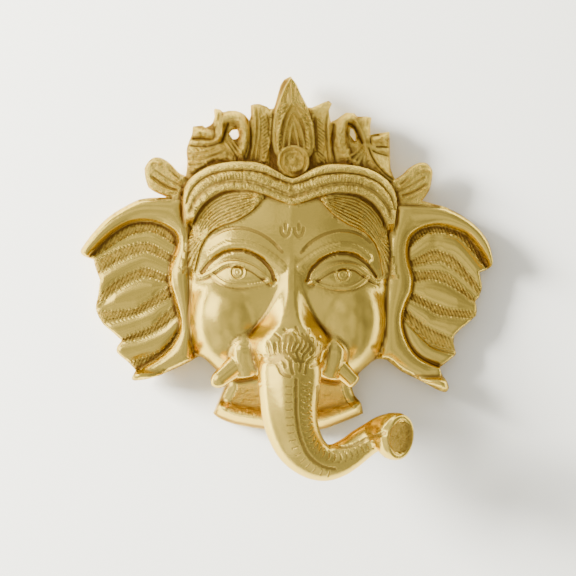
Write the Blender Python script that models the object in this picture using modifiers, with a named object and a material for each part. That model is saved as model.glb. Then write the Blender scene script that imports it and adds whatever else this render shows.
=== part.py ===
"""A cast brass mask of Ganesha, lying on its back: face up along +Z, crown to +Y, trunk curling to +X.

The casting is a carved relief with a hollow back. Its front and its back are heights over the same outline, and
the trunk, the tusks and the hanging bar are joined to it. The origin is under the middle of the mask.
"""

import math

import bmesh
import bpy
import numpy as np
from mathutils import Matrix, Vector

# Driving sizes, in metres
MASK_WIDTH = 0.240
MASK_HEIGHT = 0.2305
FACE_DEPTH = 0.046
FACE_WALL = 0.0045
SHEET_WALL = 0.0040
RIM_WIDTH = 0.0055
TRUNK_WIDTH = 0.0368
TRUNK_DEPTH = 0.0300
BAR_WIDTH = 0.008
BAR_THICKNESS = 0.005
BAR_CLEARANCE = 0.006
BAR_PLACE = 0.040

# The carving is drawn in millimetres on a mask of this size, x to the right and y up from its middle
DRAWN_WIDTH = 242.1
DRAWN_HEIGHT = 232.3
DRAWN_DEPTH = 46.0
DRAWN_TRUNK_WIDTH = 36.8
DRAWN_TRUNK_DEPTH = 30.0
GRID_CELL = 1.3
CARVING_TRIANGLES = 7400
CUT_DEPTH = 1.0
HOLLOW_SLOPE = 5.0
HOLLOW_TOP = 44.0

# Outline of the casting, in stretches that meet at its corners
CROWN_LEFT = [
    [(-0.8, 118.5), (-5.2, 116), (-7.4, 111), (-8.9, 105), (-10.4, 99.8), (-12.8, 98.8)],
    [(-12.8, 98.8), (-15, 100.5), (-20, 101.8), (-24, 101)],
    [(-24, 101), (-23.8, 95), (-24.6, 92)],
    [(-24.6, 92), (-27, 94.8), (-31, 97), (-36, 97.5), (-40, 96.4)],
    [(-40, 96.4), (-42, 98), (-45, 98), (-44.8, 93), (-46.3, 89.5), (-50, 87.3)],
    [(-50, 87.3), (-52, 88.5), (-57.3, 87.8)],
    [(-57.3, 87.8), (-57.8, 83), (-60.8, 74), (-60, 66), (-60.9, 58.5)],
    [(-60.9, 58.5), (-65, 60.6), (-69.5, 65.2), (-75, 68.6), (-80, 68.6), (-84, 64.2), (-84.4, 58),
     (-82, 51.5), (-76.5, 48), (-69, 46)],
]
EAR_LEFT = [
    [(-69, 46), (-78, 45.6), (-87, 44.4), (-95, 40.5), (-105, 33.8), (-113, 25.3), (-119, 17), (-120.8, 13.2),
     (-118.5, 10.6), (-113, 8.8)],
    [(-113, 8.8), (-112, 4.5), (-109, -3)],
    [(-109, -3), (-110, -12), (-111, -20), (-107, -28), (-101, -33), (-95.5, -38)],
    [(-95.5, -38), (-98.3, -42), (-97.5, -45.5), (-92, -50), (-87, -55)],
    [(-87, -55), (-89.2, -59), (-87.5, -60.6), (-79, -59.2), (-68, -55.2), (-58, -50.4), (-50, -45.6)],
]
JAW = [
    [(-50, -45.6), (-46, -48), (-41, -52.8), (-36, -58), (-34, -62.5)],
    [(-34, -62.5), (-36.4, -68), (-39, -75), (-41.2, -79.4)],
    [(-41.2, -79.4), (-37, -82.4), (-28, -85.4), (-12, -87.8), (5, -88.6), (22, -87.4), (34, -83.2), (42, -79.8),
     (46.8, -77.4)],
    [(46.8, -77.4), (44.5, -71), (40.5, -66), (38.5, -61)],
    [(38.5, -61), (42, -56), (47, -50), (54, -45)],
]
EAR_RIGHT = [
    [(54, -45), (60, -46), (68, -52), (79, -57), (88, -61.8), (94, -63.6), (95.8, -61)],
    [(95.8, -61), (93.8, -56), (91, -49.8)],
    [(91, -49.8), (96, -45.6), (101, -41.6)],
    [(101, -41.6), (99.6, -36), (99, -31)],
    [(99, -31), (102.6, -26.9), (108, -22.4), (112.6, -18.4)],
    [(112.6, -18.4), (112.4, -14), (111.5, -9.8)],
    [(111.5, -9.8), (114, -7), (115.2, -2), (114.2, 3), (113.3, 7)],
    [(113.3, 7), (117.3, 8.4), (120.7, 11), (121.2, 15), (118.9, 24), (113.4, 31.8), (105, 38.6), (94.6, 43.9),
     (84, 46.6), (78, 48)],
]
CROWN_RIGHT = [
    [(78, 48), (82, 54), (83.4, 60), (83.6, 66), (80, 70), (75, 69.8), (70, 67), (66, 63), (61.5, 60)],
    [(61.5, 60), (59, 66), (58.5, 76), (58.2, 88)],
    [(58.2, 88), (52, 87), (46.5, 85.6)],
    [(46.5, 85.6), (46.4, 90), (47, 95.8), (42, 96.4), (38.6, 96.2)],
    [(38.6, 96.2), (35.5, 98.4), (31, 97.6), (27, 94.6), (23, 92.4)],
    [(23, 92.4), (22, 96), (21.8, 99), (23.4, 103), (21.5, 105)],
    [(21.5, 105), (17, 103.2), (13, 100.9), (9.8, 100)],
    [(9.8, 100), (7.4, 104), (5.2, 108.4), (2.9, 113.6), (-0.8, 118.5)],
]
CROWN_HOLES = [
    [(-36, 83.5), (-34.2, 86), (-31.6, 86.2), (-30.6, 83.4), (-31.6, 81), (-34.2, 80.8)],
    [(34.4, 89.2), (36.4, 88.6), (38, 84.6), (37.8, 82), (35.8, 82.2), (34.2, 85.6)],
]

# Where the casting stands on what it lies on, drawn for the right half
RIM_OUTSIDE = [(0, 62), (20, 64), (40, 63), (52, 57), (58, 45), (58, 20), (57, 0), (56, -20), (55.5, -38), (54, -50),
               (50, -62), (52, -80), (34, -92), (0, -96)]

# Lines of the face and the head band, drawn for the right half
BAND_TOP = [(0, 57.8), (4, 59), (9, 62), (15, 65), (24, 67), (36, 66.6), (46, 64.4), (54, 60.2), (60, 54), (63, 45)]
BAND_LINES = [
    [(0, 54.6), (8, 57.4), (16, 60.4), (26, 62), (37, 61.6), (46, 59.4), (53, 55.4), (58, 49.5), (60.5, 42)],
    [(0, 47.6), (6, 49.4), (14, 52.4), (24, 55.2), (35, 55.8), (43, 53.8), (50, 49.8), (56, 43.2), (58.5, 36)],
]
BAND_FOOT = [(0, 42), (5, 43.6), (11, 46), (18, 48.6), (25, 50.2), (33, 50.4), (40, 49.2), (46, 46), (51, 41.5),
             (55, 35), (57, 28)]
HAIR_FOOT = [(17, 44.6), (20, 40.8), (25, 36.4), (32, 32), (39, 29.6), (45, 26), (49, 21), (52, 14), (54, 4)]
BROW = [(5.5, 15.5), (10, 20.4), (16, 24.6), (23, 27.6), (31, 28.8), (39, 27.2), (46, 22.6)]
SOCKET = [(6, 7), (11, 11), (17, 15), (24, 18), (32, 19), (39, 17.6), (45, 13.4)]
LID_FOLD = [(10, 1), (13, 7), (18, 11.6), (25, 15), (33, 15.4), (40, 13.2), (46, 8.4), (50.5, 2.6)]
UPPER_LID = [(11.5, -1.4), (16, 2.4), (23, 6.8), (31, 9), (38, 8.2), (43, 5), (50, 1), (55, 0.4)]
LOWER_LID = [(12.5, -1.4), (18, -3.2), (26, -4.6), (34, -4.4), (40, -2), (45, 2)]
NOSE_FOOT_Y = [22, 10, -2, -10, -17, -24, -30, -35, -40, -46, -52, -60]
NOSE_FOOT_X = [3.4, 5.6, 9, 11.5, 14.6, 18.6, 23.5, 27.6, 27, 23.6, 21, 20]
NOSE_FLAT_X = [1.0, 1.4, 1.8, 2.2, 3.0, 4.6, 7.4, 10.0, 10.4, 8, 6, 6]
NOSE_TOP_Z = [44.6, 45.6, 47.6, 50, 52.8, 56.2, 59.8, 63, 65.4, 66.8, 66.6, 66]
MOUTH_TOP = [(0, -54), (14, -54), (24, -56), (30, -57), (40, -58)]
CHIN_X = [-41.2, -37, -28, -12, 5, 22, 34, 42, 46.8]
CHIN_Y = [-79.4, -82.4, -85.4, -87.8, -88.6, -87.4, -83.2, -79.8, -77.4]
TUSK_SHEATH = [(22, -31), (24.4, -38), (24.6, -45), (23, -52), (20.6, -59), (18, -66)]

# The ears: the inner edge of each smooth border, and the folds that fan across the field inside it
BORDER_LEFT = [(-116.5, 10.5), (-112, 15.5), (-104, 23.4), (-97, 28.4), (-91, 31.2), (-84, 32), (-77, 31.4),
               (-71, 29), (-65.5, 24.4), (-64.5, 17), (-67, 10), (-68.6, 2), (-68.2, -5), (-65.6, -13),
               (-63, -22), (-62, -30), (-64, -36), (-67.6, -42), (-73, -47), (-79, -51), (-86, -55.5)]
FOLDS_LEFT = [
    [(-66, 18), (-78, 25), (-86, 25), (-92, 23.5), (-98, 20), (-112, 10.5)],
    [(-66, 12), (-78, 18.5), (-85, 19.5), (-98, 16), (-112, 8)],
    [(-66, 6.5), (-80, 13), (-87, 13), (-99, 7.5), (-112, -1)],
    [(-66, -1), (-80, 4.5), (-87, 4), (-99, -2.6), (-112, -13)],
    [(-66, -5.6), (-80, -1.5), (-87, -2), (-98, -8), (-112, -20)],
    [(-66, -3), (-74, -9), (-85, -17), (-92, -19.5), (-112, -21)],
    [(-64, -10.6), (-70, -14), (-82, -20), (-90, -23.5), (-112, -30)],
    [(-64, -14.6), (-72, -22), (-77, -28), (-84, -31.5), (-104, -40)],
    [(-62, -21), (-72, -30), (-84, -36), (-92, -38), (-104, -41)],
    [(-62, -30), (-70, -40), (-76, -44.5), (-90, -50), (-104, -56)],
]
BORDER_RIGHT = [(119, 10.5), (115.5, 16.8), (110, 24), (105, 29), (98, 32), (91, 33.8), (84, 33.8), (77, 31.6),
                (71.6, 27), (69.6, 20), (70.4, 12), (72.8, 3), (72.4, -5), (70, -11), (68, -17), (67.4, -23),
                (68.8, -30), (72, -37), (77, -43), (84, -47), (92, -50)]
FOLDS_RIGHT = [
    [(68, 17), (80, 28), (87, 29), (95, 28.5), (102, 25.5), (116, 10)],
    [(68, 11), (84, 19), (92, 18), (100, 14), (116, -4)],
    [(68, 7.6), (87, 12), (94, 10), (106, 0.5), (116, -10)],
    [(68, 6.4), (83, 7.2), (90, 7), (98, 3), (116, -12.6)],
    [(68, -2), (82, 1.5), (90, 0.5), (97, -2.5), (116, -15)],
    [(68, -3), (82, -10), (90, -13), (97, -15), (116, -16)],
    [(68, -7), (73, -11), (82, -15), (90, -19), (116, -21.5)],
    [(66, -11), (72, -17), (78, -22), (85, -26.5), (106, -35)],
    [(66, -17), (71, -23), (82, -33), (88, -37), (106, -42)],
]

# Carving of the crown and of the leaves beside it, on both halves: (half width, height, points)
CROWN_CARVING = [
    (5.2, 3.4, [(29, 70), (27, 77), (26.4, 84), (28.4, 90), (32, 93.6), (36.4, 93.2)]),
    (1.3, -1.6, [(24.4, 91), (23.4, 82), (24.2, 74), (25.6, 67.6)]),
    (1.1, 1.4, [(22.6, 99), (20.6, 90), (21.4, 80), (22.6, 70)]),
    (1.1, 1.4, [(14.4, 99), (14.4, 88), (15, 76), (16.8, 67.4)]),
    (1.4, 1.6, [(43, 92), (43.4, 82), (47, 73), (52, 65.4), (59, 58.6)]),
    (4.4, 2.6, [(51, 84), (56, 83.4)]),
    (3.6, 2.2, [(41.6, 92), (40.6, 86), (39.4, 81)]),
    (4.6, 1.8, [(33, 71), (39, 69.6), (45, 70)]),
]
LEAF_CARVING = [
    (1.0, 1.3, [(64, 54.6), (70, 59), (76, 64), (81, 65.6)]),
    (1.0, 1.2, [(65, 48.4), (71, 49), (78, 52.4), (82, 57)]),
    (1.0, -1.2, [(66, 52.6), (73, 56), (80, 61)]),
]
PETAL_EDGE_Y = [70, 74, 79, 86, 92, 98, 105, 112, 118.5]
PETAL_EDGE_X = [9.6, 11.8, 12.8, 12.6, 11.8, 10.2, 7.4, 4.4, 0.4]
PETAL_DROPS = [(9.2, 102, 1.5), (6.0, 96.6, 1.4), (2.8, 91, 1.2)]
MEDALLION = (0.9, 68.2)
MEDALLION_RADIUS = 9.8
MEDALLION_HEIGHT = 4.2
MEDALLION_RINGS = [(8.6, 1.1), (5.8, 0.9)]

# The trunk beyond the face: (x, y, z, half width, half depth) down its length, drawn to scale
TRUNK_PATH = [
    (0.0, -28, 48.0, 9.0, 6.0),
    (0.0, -36, 53.0, 12.6, 9.6),
    (0.0, -44, 55.6, 16.2, 12.0),
    (-0.1, -50, 56.4, 18.0, 13.2),
    (-0.2, -56, 56.8, 18.2, 14.0),
    (-0.4, -64, 57.2, 17.4, 14.4),
    (-0.1, -74, 58.0, 16.2, 14.2),
    (1.9, -84, 58.5, 15.0, 13.6),
    (6.1, -93, 58, 14.0, 12.8),
    (12.4, -99.6, 57, 12.4, 11.4),
    (19.8, -102.9, 56, 11.0, 10.4),
    (27.2, -102.2, 55, 9.9, 9.6),
    (34.8, -98.0, 54.5, 9.3, 9.2),
    (41.4, -92.6, 54.8, 8.9, 8.8),
    (47.4, -88.4, 56.4, 8.8, 8.7),
    (52.4, -86.4, 59.4, 10.6, 9.8),
    (56.6, -86.4, 63.0, 12.8, 11.2),
    (60.0, -87.0, 66.8, 13.4, 11.6),
    (62.2, -87.2, 69.4, 12.6, 10.8),
]
TRUNK_SIDES = 16
TRUNK_RINGS = 44
TUSKS = [
    ((-24, -45.6, 36), (-43.4, -61.2, 41.5), 7.4, 4.2),
    ((25.6, -46.6, 36), (38.7, -58.7, 41), 6.2, 4.2),
]
TUSK_SIDES = 12


def smooth_line(points, closed=False, steps=5):
    """A Catmull-Rom curve through points, as an array of points."""
    p = np.array(points, float)
    if closed:
        p = np.vstack([p[-1:], p, p[:2]])
    else:
        p = np.vstack([2 * p[:1] - p[1:2], p, 2 * p[-1:] - p[-2:-1]])
    t = np.linspace(0, 1, steps, endpoint=False)[:, None]
    spans = []
    for a, b, c, d in zip(p[:-3], p[1:-2], p[2:-1], p[3:]):
        spans.append(0.5 * (2 * b + (c - a) * t + (2 * a - 5 * b + 4 * c - d) * t**2
                            + (3 * b - a - 3 * c + d) * t**3))
    if not closed:
        spans.append(p[-2:-1])
    return np.vstack(spans)


def joined(stretches):
    """Smooth stretches that meet at corners, as one closed loop of points."""
    return np.vstack([smooth_line(stretch)[:-1] for stretch in stretches])


def measure(line, x, y, closed=False):
    """How far each place is from a line, positive on the left of its travel, and how far along it lies."""
    ends = np.roll(line, -1, axis=0) if closed else line[1:]
    starts = line if closed else line[:-1]
    best = np.full(x.shape, 1e9)
    signed = np.zeros(x.shape)
    along = np.zeros(x.shape)
    travelled = 0.0
    for (ax, ay), (bx, by) in zip(starts, ends):
        ux, uy = bx - ax, by - ay
        length = math.hypot(ux, uy)
        if length < 1e-6:
            continue
        t = np.clip(((x - ax) * ux + (y - ay) * uy) / length**2, 0, 1)
        distance = np.hypot(x - ax - t * ux, y - ay - t * uy)
        across = (ux * (y - ay) - uy * (x - ax)) / length
        rank = distance - 1e-4 * np.abs(across)
        nearer = rank < best
        best[nearer] = rank[nearer]
        signed[nearer] = np.where(across < 0, -distance, distance)[nearer]
        along[nearer] = (travelled + t * length)[nearer]
        travelled += length
    return signed, along


def inside(loop, x, y):
    """True for each place within a closed loop."""
    found = np.zeros(x.shape, bool)
    for (ax, ay), (bx, by) in zip(loop, np.roll(loop, -1, axis=0)):
        if ay != by:
            crosses = ((ay > y) != (by > y)) & (x < (bx - ax) * (y - ay) / (by - ay) + ax)
            found ^= crosses
    return found


def higher(a, b, blend):
    """The higher of two surfaces, with a soft crease."""
    return 0.5 * (a + b + np.sqrt((a - b)**2 + blend**2))


def lower(a, b, blend):
    """The lower of two surfaces, with a soft edge."""
    return 0.5 * (a + b - np.sqrt((a - b)**2 + blend**2))


def fade(t):
    """0 below 0, 1 above 1 and smooth between."""
    t = np.clip(t, 0, 1)
    return t * t * (3 - 2 * t)


def bump(distance, half):
    """A smooth ridge of height 1 and the given half width."""
    t = np.clip(1 - (distance / half)**2, 0, 1)
    return t * t


def arch(a, b):
    """A round arch of height 1 between two edges that are a and b away."""
    a = np.maximum(a, 0)
    b = np.maximum(b, 0)
    return 2 * np.sqrt(a * b) / (a + b + 1e-6)


def dome(rho, power=0.5):
    """A round cap of height 1 that ends where rho is 1, and falls away beyond it."""
    return np.where(rho < 1, np.maximum(1 - rho**2, 0)**power, 1 - rho)


OUTLINE = joined(CROWN_LEFT + EAR_LEFT + JAW + EAR_RIGHT + CROWN_RIGHT)
HOLES = [smooth_line(hole, closed=True) for hole in CROWN_HOLES]
RIM_LOOP = np.vstack([smooth_line(RIM_OUTSIDE), (smooth_line(RIM_OUTSIDE) * [-1, 1])[-2:0:-1]])


def head_form(x, y):
    """The plain round form of the head: skull, cheeks and the spread of the trunk's root."""
    ax = np.abs(x)
    skull_wide, skull_tall, skull_y = 60, 72, 6
    skull_foot, skull_rise = 17, 27.5
    skull_rho = ((ax / skull_wide)**2.3 + (np.abs(y - skull_y) / skull_tall)**2.6)**(1 / 2.4)
    skull = skull_foot + skull_rise * dome(skull_rho, 0.55)
    cheek_wide, cheek_tall, cheek_x, cheek_y = 24.5, 32.5, 34, -23
    cheek_foot, cheek_rise = 15, 29
    cheek_rho = np.hypot((ax - cheek_x) / cheek_wide, (y - cheek_y) / cheek_tall)
    cheek = cheek_foot + cheek_rise * dome(cheek_rho)
    return higher(skull, cheek, 3.0)


def nose_form(x, y):
    """The bridge of the nose, which widens into the root of the trunk."""
    ax = np.abs(x)
    rows = NOSE_FOOT_Y[::-1]
    foot = np.interp(y, rows, NOSE_FOOT_X[::-1])
    flat = np.interp(y, rows, NOSE_FLAT_X[::-1])
    top = np.interp(y, rows, NOSE_TOP_Z[::-1])
    foot_z = 42
    side_curve = 0.012
    fall = np.clip((ax - flat) / (foot - flat), 0, 3)
    roundness = 1.1 + 0.9 * fade((-20 - y) / 14)
    side = top - side_curve * ax**2 - fall**roundness * (top - foot_z)
    side = side - 8 * fade((y - 2) / 20)
    ending = fade((y + 60) / 10)
    return side * ending + 20 * (1 - ending)


def face_front(x, y):
    """The face with its brows, eyes and hair."""
    ax = np.abs(x)
    z = head_form(x, y)
    socket_d, _ = measure(smooth_line(SOCKET), ax, y)
    socket_depth = 3.4
    z = z - socket_depth * np.exp(-((ax - 30) / 17)**2 - ((y - 6) / 9)**2)
    z = higher(z, nose_form(x, y), 1.0 + 3.0 * fade((y + 12) / 20))
    z = z + 1.7 * bump(socket_d, 3.0)
    brow_d, _ = measure(smooth_line(BROW), ax, y)
    z = z - 0.7 * bump(brow_d, 1.0)
    fold_d, _ = measure(smooth_line(LID_FOLD), ax, y)
    z = z - 1.4 * bump(fold_d, 1.6)
    ball_wide, ball_tall, ball_rise = 16.5, 8.6, 2.6
    ball = np.hypot((ax - 29.6) / ball_wide, (y - 3) / ball_tall)
    z = z + ball_rise * np.maximum(1 - ball**2, 0)
    for lid, height in ((UPPER_LID, 1.6), (LOWER_LID, 1.3)):
        lid_d, _ = measure(smooth_line(lid), ax, y)
        z = z + height * bump(lid_d, 1.7)
    iris_radius = 4.2
    iris = np.hypot(ax - 30, y - 3.6)
    z = z + 0.7 * bump(iris - iris_radius, 0.9) + 0.8 * bump(iris, 1.8)
    return z


def with_hair(z, x, y):
    """Two swept locks of hair between the head band and the temples."""
    ax = np.abs(x)
    top_d, _ = measure(smooth_line(BAND_FOOT), ax, y)
    foot_d, _ = measure(smooth_line(HAIR_FOOT), ax, y)
    share = np.clip(-top_d, 0, None) / (np.clip(-top_d, 0, None) + np.clip(foot_d, 0, None) + 1e-6)
    strand_count = 6
    strands = np.abs(np.sin(math.pi * strand_count * share))
    here = fade(foot_d / 1.2) * fade(-top_d + 0.5) * fade((ax - 16) / 3) * fade((y - 1) / 6)
    return z + here * (1.0 + 1.3 * strands)


def band_front(x, y):
    """The head band: a round ridge, a broad roll and a thin roll, one under another."""
    ax = np.abs(x)
    base = 20.5 + 21 * np.sqrt(np.maximum(1 - (ax / 70)**2, 0))
    top_d, _ = measure(smooth_line(BAND_TOP), ax, y)
    first_d, _ = measure(smooth_line(BAND_LINES[0]), ax, y)
    second_d, _ = measure(smooth_line(BAND_LINES[1]), ax, y)
    foot_d, _ = measure(smooth_line(BAND_FOOT), ax, y)
    z = base - 0.32 * np.clip(foot_d, 0, 30)
    ridge, broad_roll, thin_roll = 2.0, 2.6, 1.8
    z = z + ridge * arch(-top_d, first_d)
    z = z + broad_roll * arch(-first_d, second_d)
    z = z + thin_roll * arch(-second_d, foot_d)
    return z, top_d, foot_d


def crown_form(x, y):
    """The plain back-swept plate of the crown."""
    foot_y, foot_z = 60, 27
    return foot_z - 0.17 * (y - foot_y) - 0.0022 * x**2


def crown_front(x, y):
    """The crown with its bird heads, petals and medallion."""
    ax = np.abs(x)
    z = crown_form(x, y)
    for half, height, points in CROWN_CARVING:
        line_d, _ = measure(smooth_line(points), ax, y)
        z = z + height * bump(line_d, half)
    feather = np.sin(np.arctan2(y - 62, ax - 36) * 9)
    z = z + 0.7 * feather * bump(np.hypot(ax - 37, y - 71), 9.5)
    petal_ax = np.abs(x - 1.0 + 1.9 * fade((y - 74) / 44))
    edge = np.interp(y, PETAL_EDGE_Y, PETAL_EDGE_X)
    z = z + 2.8 * fade((edge - petal_ax) / 1.6) * fade((y - 70) / 2)
    for width, tip, height in PETAL_DROPS:
        share = np.clip((tip - y) / (tip - 69), 0, 1)
        rim = petal_ax - width * np.sin(math.pi * share**0.8 * 0.62)
        z = z + height * bump(rim, 1.1) * fade((tip + 1 - y) / 2) * fade((y - 73) / 3)
    middle = np.hypot(x - MEDALLION[0], y - MEDALLION[1])
    plate = crown_form(x, y) + MEDALLION_HEIGHT
    z = z + (plate - z) * fade(MEDALLION_RADIUS - middle)
    for radius, half in MEDALLION_RINGS:
        z = z + 1.5 * bump(middle - radius, half)
    return z + 1.6 * bump(middle, 2.6)


def head_edge(y):
    """How far out the crease between the head and the ears lies."""
    return np.interp(y, [-50, -30, 0, 20, 45, 60], [55, 56.5, 58, 58.6, 61.5, 61.5])


def leaf_form(x):
    """The plain plate of the two small leaves beside the crown."""
    root_x, root_z = 62, 20
    return root_z - 0.12 * (np.abs(x) - root_x)


def ear_form(x, y):
    """The plain sheet of the ears, which falls away from the head."""
    root_x, root_z = 58, 19.5
    return root_z - 0.105 * (np.abs(x) - root_x) - 0.0012 * (y + 8)**2


def ear_border(x, y, edge_d):
    """The round roll along the border of each ear, and how far inside that border each place lies."""
    left_d, _ = measure(smooth_line(BORDER_LEFT), x, y)
    right_d, _ = measure(smooth_line(BORDER_RIGHT), x, y)
    inner_d = np.where(x < 0, -left_d, right_d)
    root_d = np.abs(x) - head_edge(y) + 1
    border_rise = 5.4
    return border_rise * arch(np.minimum(edge_d, np.maximum(root_d, 0)), -inner_d), inner_d


def ear_front(x, y, folds, edge_d):
    """An ear: a smooth border round a field of rounded lobes and thin edged strips."""
    z = ear_form(x, y)
    roll, inner_d = ear_border(x, y, edge_d)
    roll = roll + 1.0
    lines = [smooth_line(fold) for fold in folds]
    heights = [np.interp(np.abs(x), np.abs(line[:, 0]), line[:, 1]) for line in lines]
    field = np.full(x.shape, -1.4)
    for number, (top, foot) in enumerate(zip(heights[:-1], heights[1:])):
        share = np.clip((top - y) / np.maximum(top - foot, 0.3), 0, 1)
        between = 2 * np.sqrt(share * (1 - share))
        if number % 2 == 0:
            field = field + np.minimum(3.6, 0.34 * np.maximum(top - foot, 0)) * between
    ridge_rise, ridge_half = 1.1, 1.3
    for height in heights:
        field = field + ridge_rise * bump((y - height) * 0.85, ridge_half)
    last = heights[-1]
    field = field + 2.6 * fade((last - y) / 3) * bump(inner_d - 6, 9)
    field_here = fade(inner_d / 1.3)
    return z + roll * (1 - field_here) + field * field_here


def jaw_front(x, y, edge_d):
    """The open lower jaw: a shallow hollow behind a rounded lip."""
    rise = np.clip(y - np.interp(x, CHIN_X, CHIN_Y), 0, 30)
    lip = 13 + 10 * fade((rise + 2) / 10) - 5.5 * fade((rise - 7) / 7)
    throat = 11 + 0.62 * np.clip(y + 84, 0, 40)
    return higher(lip, throat, 3.0) - 2.5 * (1 - fade(edge_d / 5))


def front(x, y):
    """The height of the carved front over each place, in the drawing's millimetres."""
    ax = np.abs(x)
    edge_d = np.abs(measure(OUTLINE, x, y, closed=True)[0])
    z = with_hair(face_front(x, y), x, y)
    sheath_d, _ = measure(smooth_line(TUSK_SHEATH), ax, y)
    sheath = 48 - 0.25 * np.clip(-42 - y, 0, 40) - 0.2 * np.clip(np.abs(sheath_d) - 2, 0, 9)**2
    sheath = sheath - 14 * (1 - fade((-22 - y) / 18)) - 26 * fade((-64 - y) / 9)
    z = higher(z, np.where(np.abs(sheath_d) < 9.5, sheath, 0), 1.6)
    mouth_d, _ = measure(smooth_line(MOUTH_TOP), ax, y)
    below = fade((-mouth_d) / 5)
    z = np.where(y < -50, higher(z * (1 - below), jaw_front(x, y, edge_d) * fade(-(y + 50) / 8), 1.5), z)
    z = np.maximum(z, 6)
    ears = []
    for folds in (FOLDS_LEFT, FOLDS_RIGHT):
        ears.append(ear_front(x, y, folds, edge_d))
    ear = np.where(x < 0, ears[0], ears[1])
    ear = np.where((ax > 49) & (y < 47) & (y > -66), ear, 0)
    ear = ear * fade((ax - head_edge(y) + 5) / 4)
    z = higher(z, ear, 1.2)
    band, top_d, foot_d = band_front(x, y)
    band_here = fade((foot_d + 0.4) / 0.9) * fade((head_edge(y) + 1.5 - ax) / 1.5) * fade((y - 27) / 8)
    z = z + (band - z) * band_here
    leaf = leaf_form(x)
    for half, height, points in LEAF_CARVING:
        line_d, _ = measure(smooth_line(points), ax, y)
        leaf = leaf + height * bump(line_d, half)
    plate = np.where((ax > 60) & (y < 72), leaf, crown_front(x, y))
    above = fade((top_d + 0.3) / 1.2) * (y > 44)
    z = z + (plate - z) * above
    edge_radius, edge_drop = 2.6, 2.2
    rounding = edge_drop * (1 - np.sqrt(1 - (1 - np.clip(edge_d / edge_radius, 0, 1))**2))
    for hole in HOLES:
        hole_d = np.abs(measure(hole, x, y, closed=True)[0])
        rounding = np.maximum(rounding, 1.6 * (1 - np.clip(hole_d / 2, 0, 1))**2)
    return z - rounding


def back(x, y, wall, sheet, rim):
    """The height of the back over each place: the flat rim, the hollow inside it and the thin sheet outside it."""
    ax = np.abs(x)
    edge_d = np.abs(measure(OUTLINE, x, y, closed=True)[0])
    roll, inner_d = ear_border(x, y, edge_d)
    ear = ear_form(x, y) + 0.6 * roll * fade(-inner_d / 2) * fade((50 - y) / 5)
    plain = np.where(y > 52, crown_form(x, y), ear)
    plain = np.where((ax > 60) & (y > 46), leaf_form(x), plain)
    outside = plain - 1.4 - sheet
    form = higher(head_form(x, y), nose_form(x, y) - 3, 2.0)
    band = 17 + 21 * np.sqrt(np.maximum(1 - (ax / 70)**2, 0)) - 0.32 * np.clip(y - 44, 0, 30)
    form = np.where(y > 44, lower(form, band, 1.0), form)
    mouth = fade((-y - 44) / 10)
    form = form * (1 - mouth) + 12 * mouth
    rim_d = np.abs(measure(RIM_LOOP, x, y, closed=True)[0])
    depth = np.where(inside(RIM_LOOP, x, y), np.minimum(rim_d, edge_d), -rim_d)
    hollow = lower(form - wall * 1.25, HOLLOW_TOP, 3.0)
    hollow = lower(hollow, (depth - rim) * HOLLOW_SLOPE, 1.0)
    z = np.where(depth < 0, np.minimum(outside, -depth * 3.0), hollow)
    return np.maximum(z, -CUT_DEPTH)


def clear_scene():
    """Remove what the file holds at the start."""
    for thing in list(bpy.data.objects):
        bpy.data.objects.remove(thing, do_unlink=True)


def brass():
    """The polished cast brass of the whole mask."""
    material = bpy.data.materials.new("cast_brass")
    material.use_nodes = True
    shader = material.node_tree.nodes["Principled BSDF"]
    shader.inputs["Base Color"].default_value = (0.66, 0.44, 0.13, 1)
    shader.inputs["Metallic"].default_value = 1.0
    shader.inputs["Roughness"].default_value = 0.28
    return material


def placed(name, mesh, collection):
    """A new object for a mesh, in a collection."""
    thing = bpy.data.objects.new(name, mesh)
    collection.objects.link(thing)
    return thing


def applied(thing):
    """Make an object's modifiers part of its mesh."""
    graph = bpy.context.evaluated_depsgraph_get()
    mesh = bpy.data.meshes.new_from_object(thing.evaluated_get(graph))
    old = thing.data
    thing.modifiers.clear()
    thing.data = mesh
    bpy.data.meshes.remove(old)


def flat_sheet():
    """The mask's outline with its holes as a flat sheet of small squares, in drawn millimetres."""
    bm = bmesh.new()
    across = round(DRAWN_WIDTH / GRID_CELL) + 4
    up = round(DRAWN_HEIGHT / GRID_CELL) + 4
    bmesh.ops.create_grid(bm, x_segments=across, y_segments=up, size=0.5)
    bmesh.ops.scale(bm, vec=(across * GRID_CELL, up * GRID_CELL, 1), verts=bm.verts)
    faces = list(bm.faces)
    middles = np.array([face.calc_center_median() for face in faces])
    keep = inside(OUTLINE, middles[:, 0], middles[:, 1])
    for hole in HOLES:
        keep &= ~inside(hole, middles[:, 0], middles[:, 1])
    outside = [face for face, kept in zip(faces, keep) if not kept]
    bmesh.ops.delete(bm, geom=outside, context="FACES")
    edge = [vertex for vertex in bm.verts if vertex.is_boundary]
    for vertex in edge:
        vertex.co = nearest_on_outline(vertex.co)
    near = {other for vertex in edge for link in vertex.link_edges for other in link.verts}
    bmesh.ops.smooth_vert(bm, verts=list(near - set(edge)), factor=0.5, use_axis_x=True, use_axis_y=True)
    bmesh.ops.triangulate(bm, faces=bm.faces, quad_method="BEAUTY")
    bmesh.ops.dissolve_degenerate(bm, dist=0.02, edges=bm.edges)
    bmesh.ops.triangulate(bm, faces=bm.faces, quad_method="BEAUTY")
    mesh = bpy.data.meshes.new("sheet")
    bm.to_mesh(mesh)
    bm.free()
    return mesh


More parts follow.
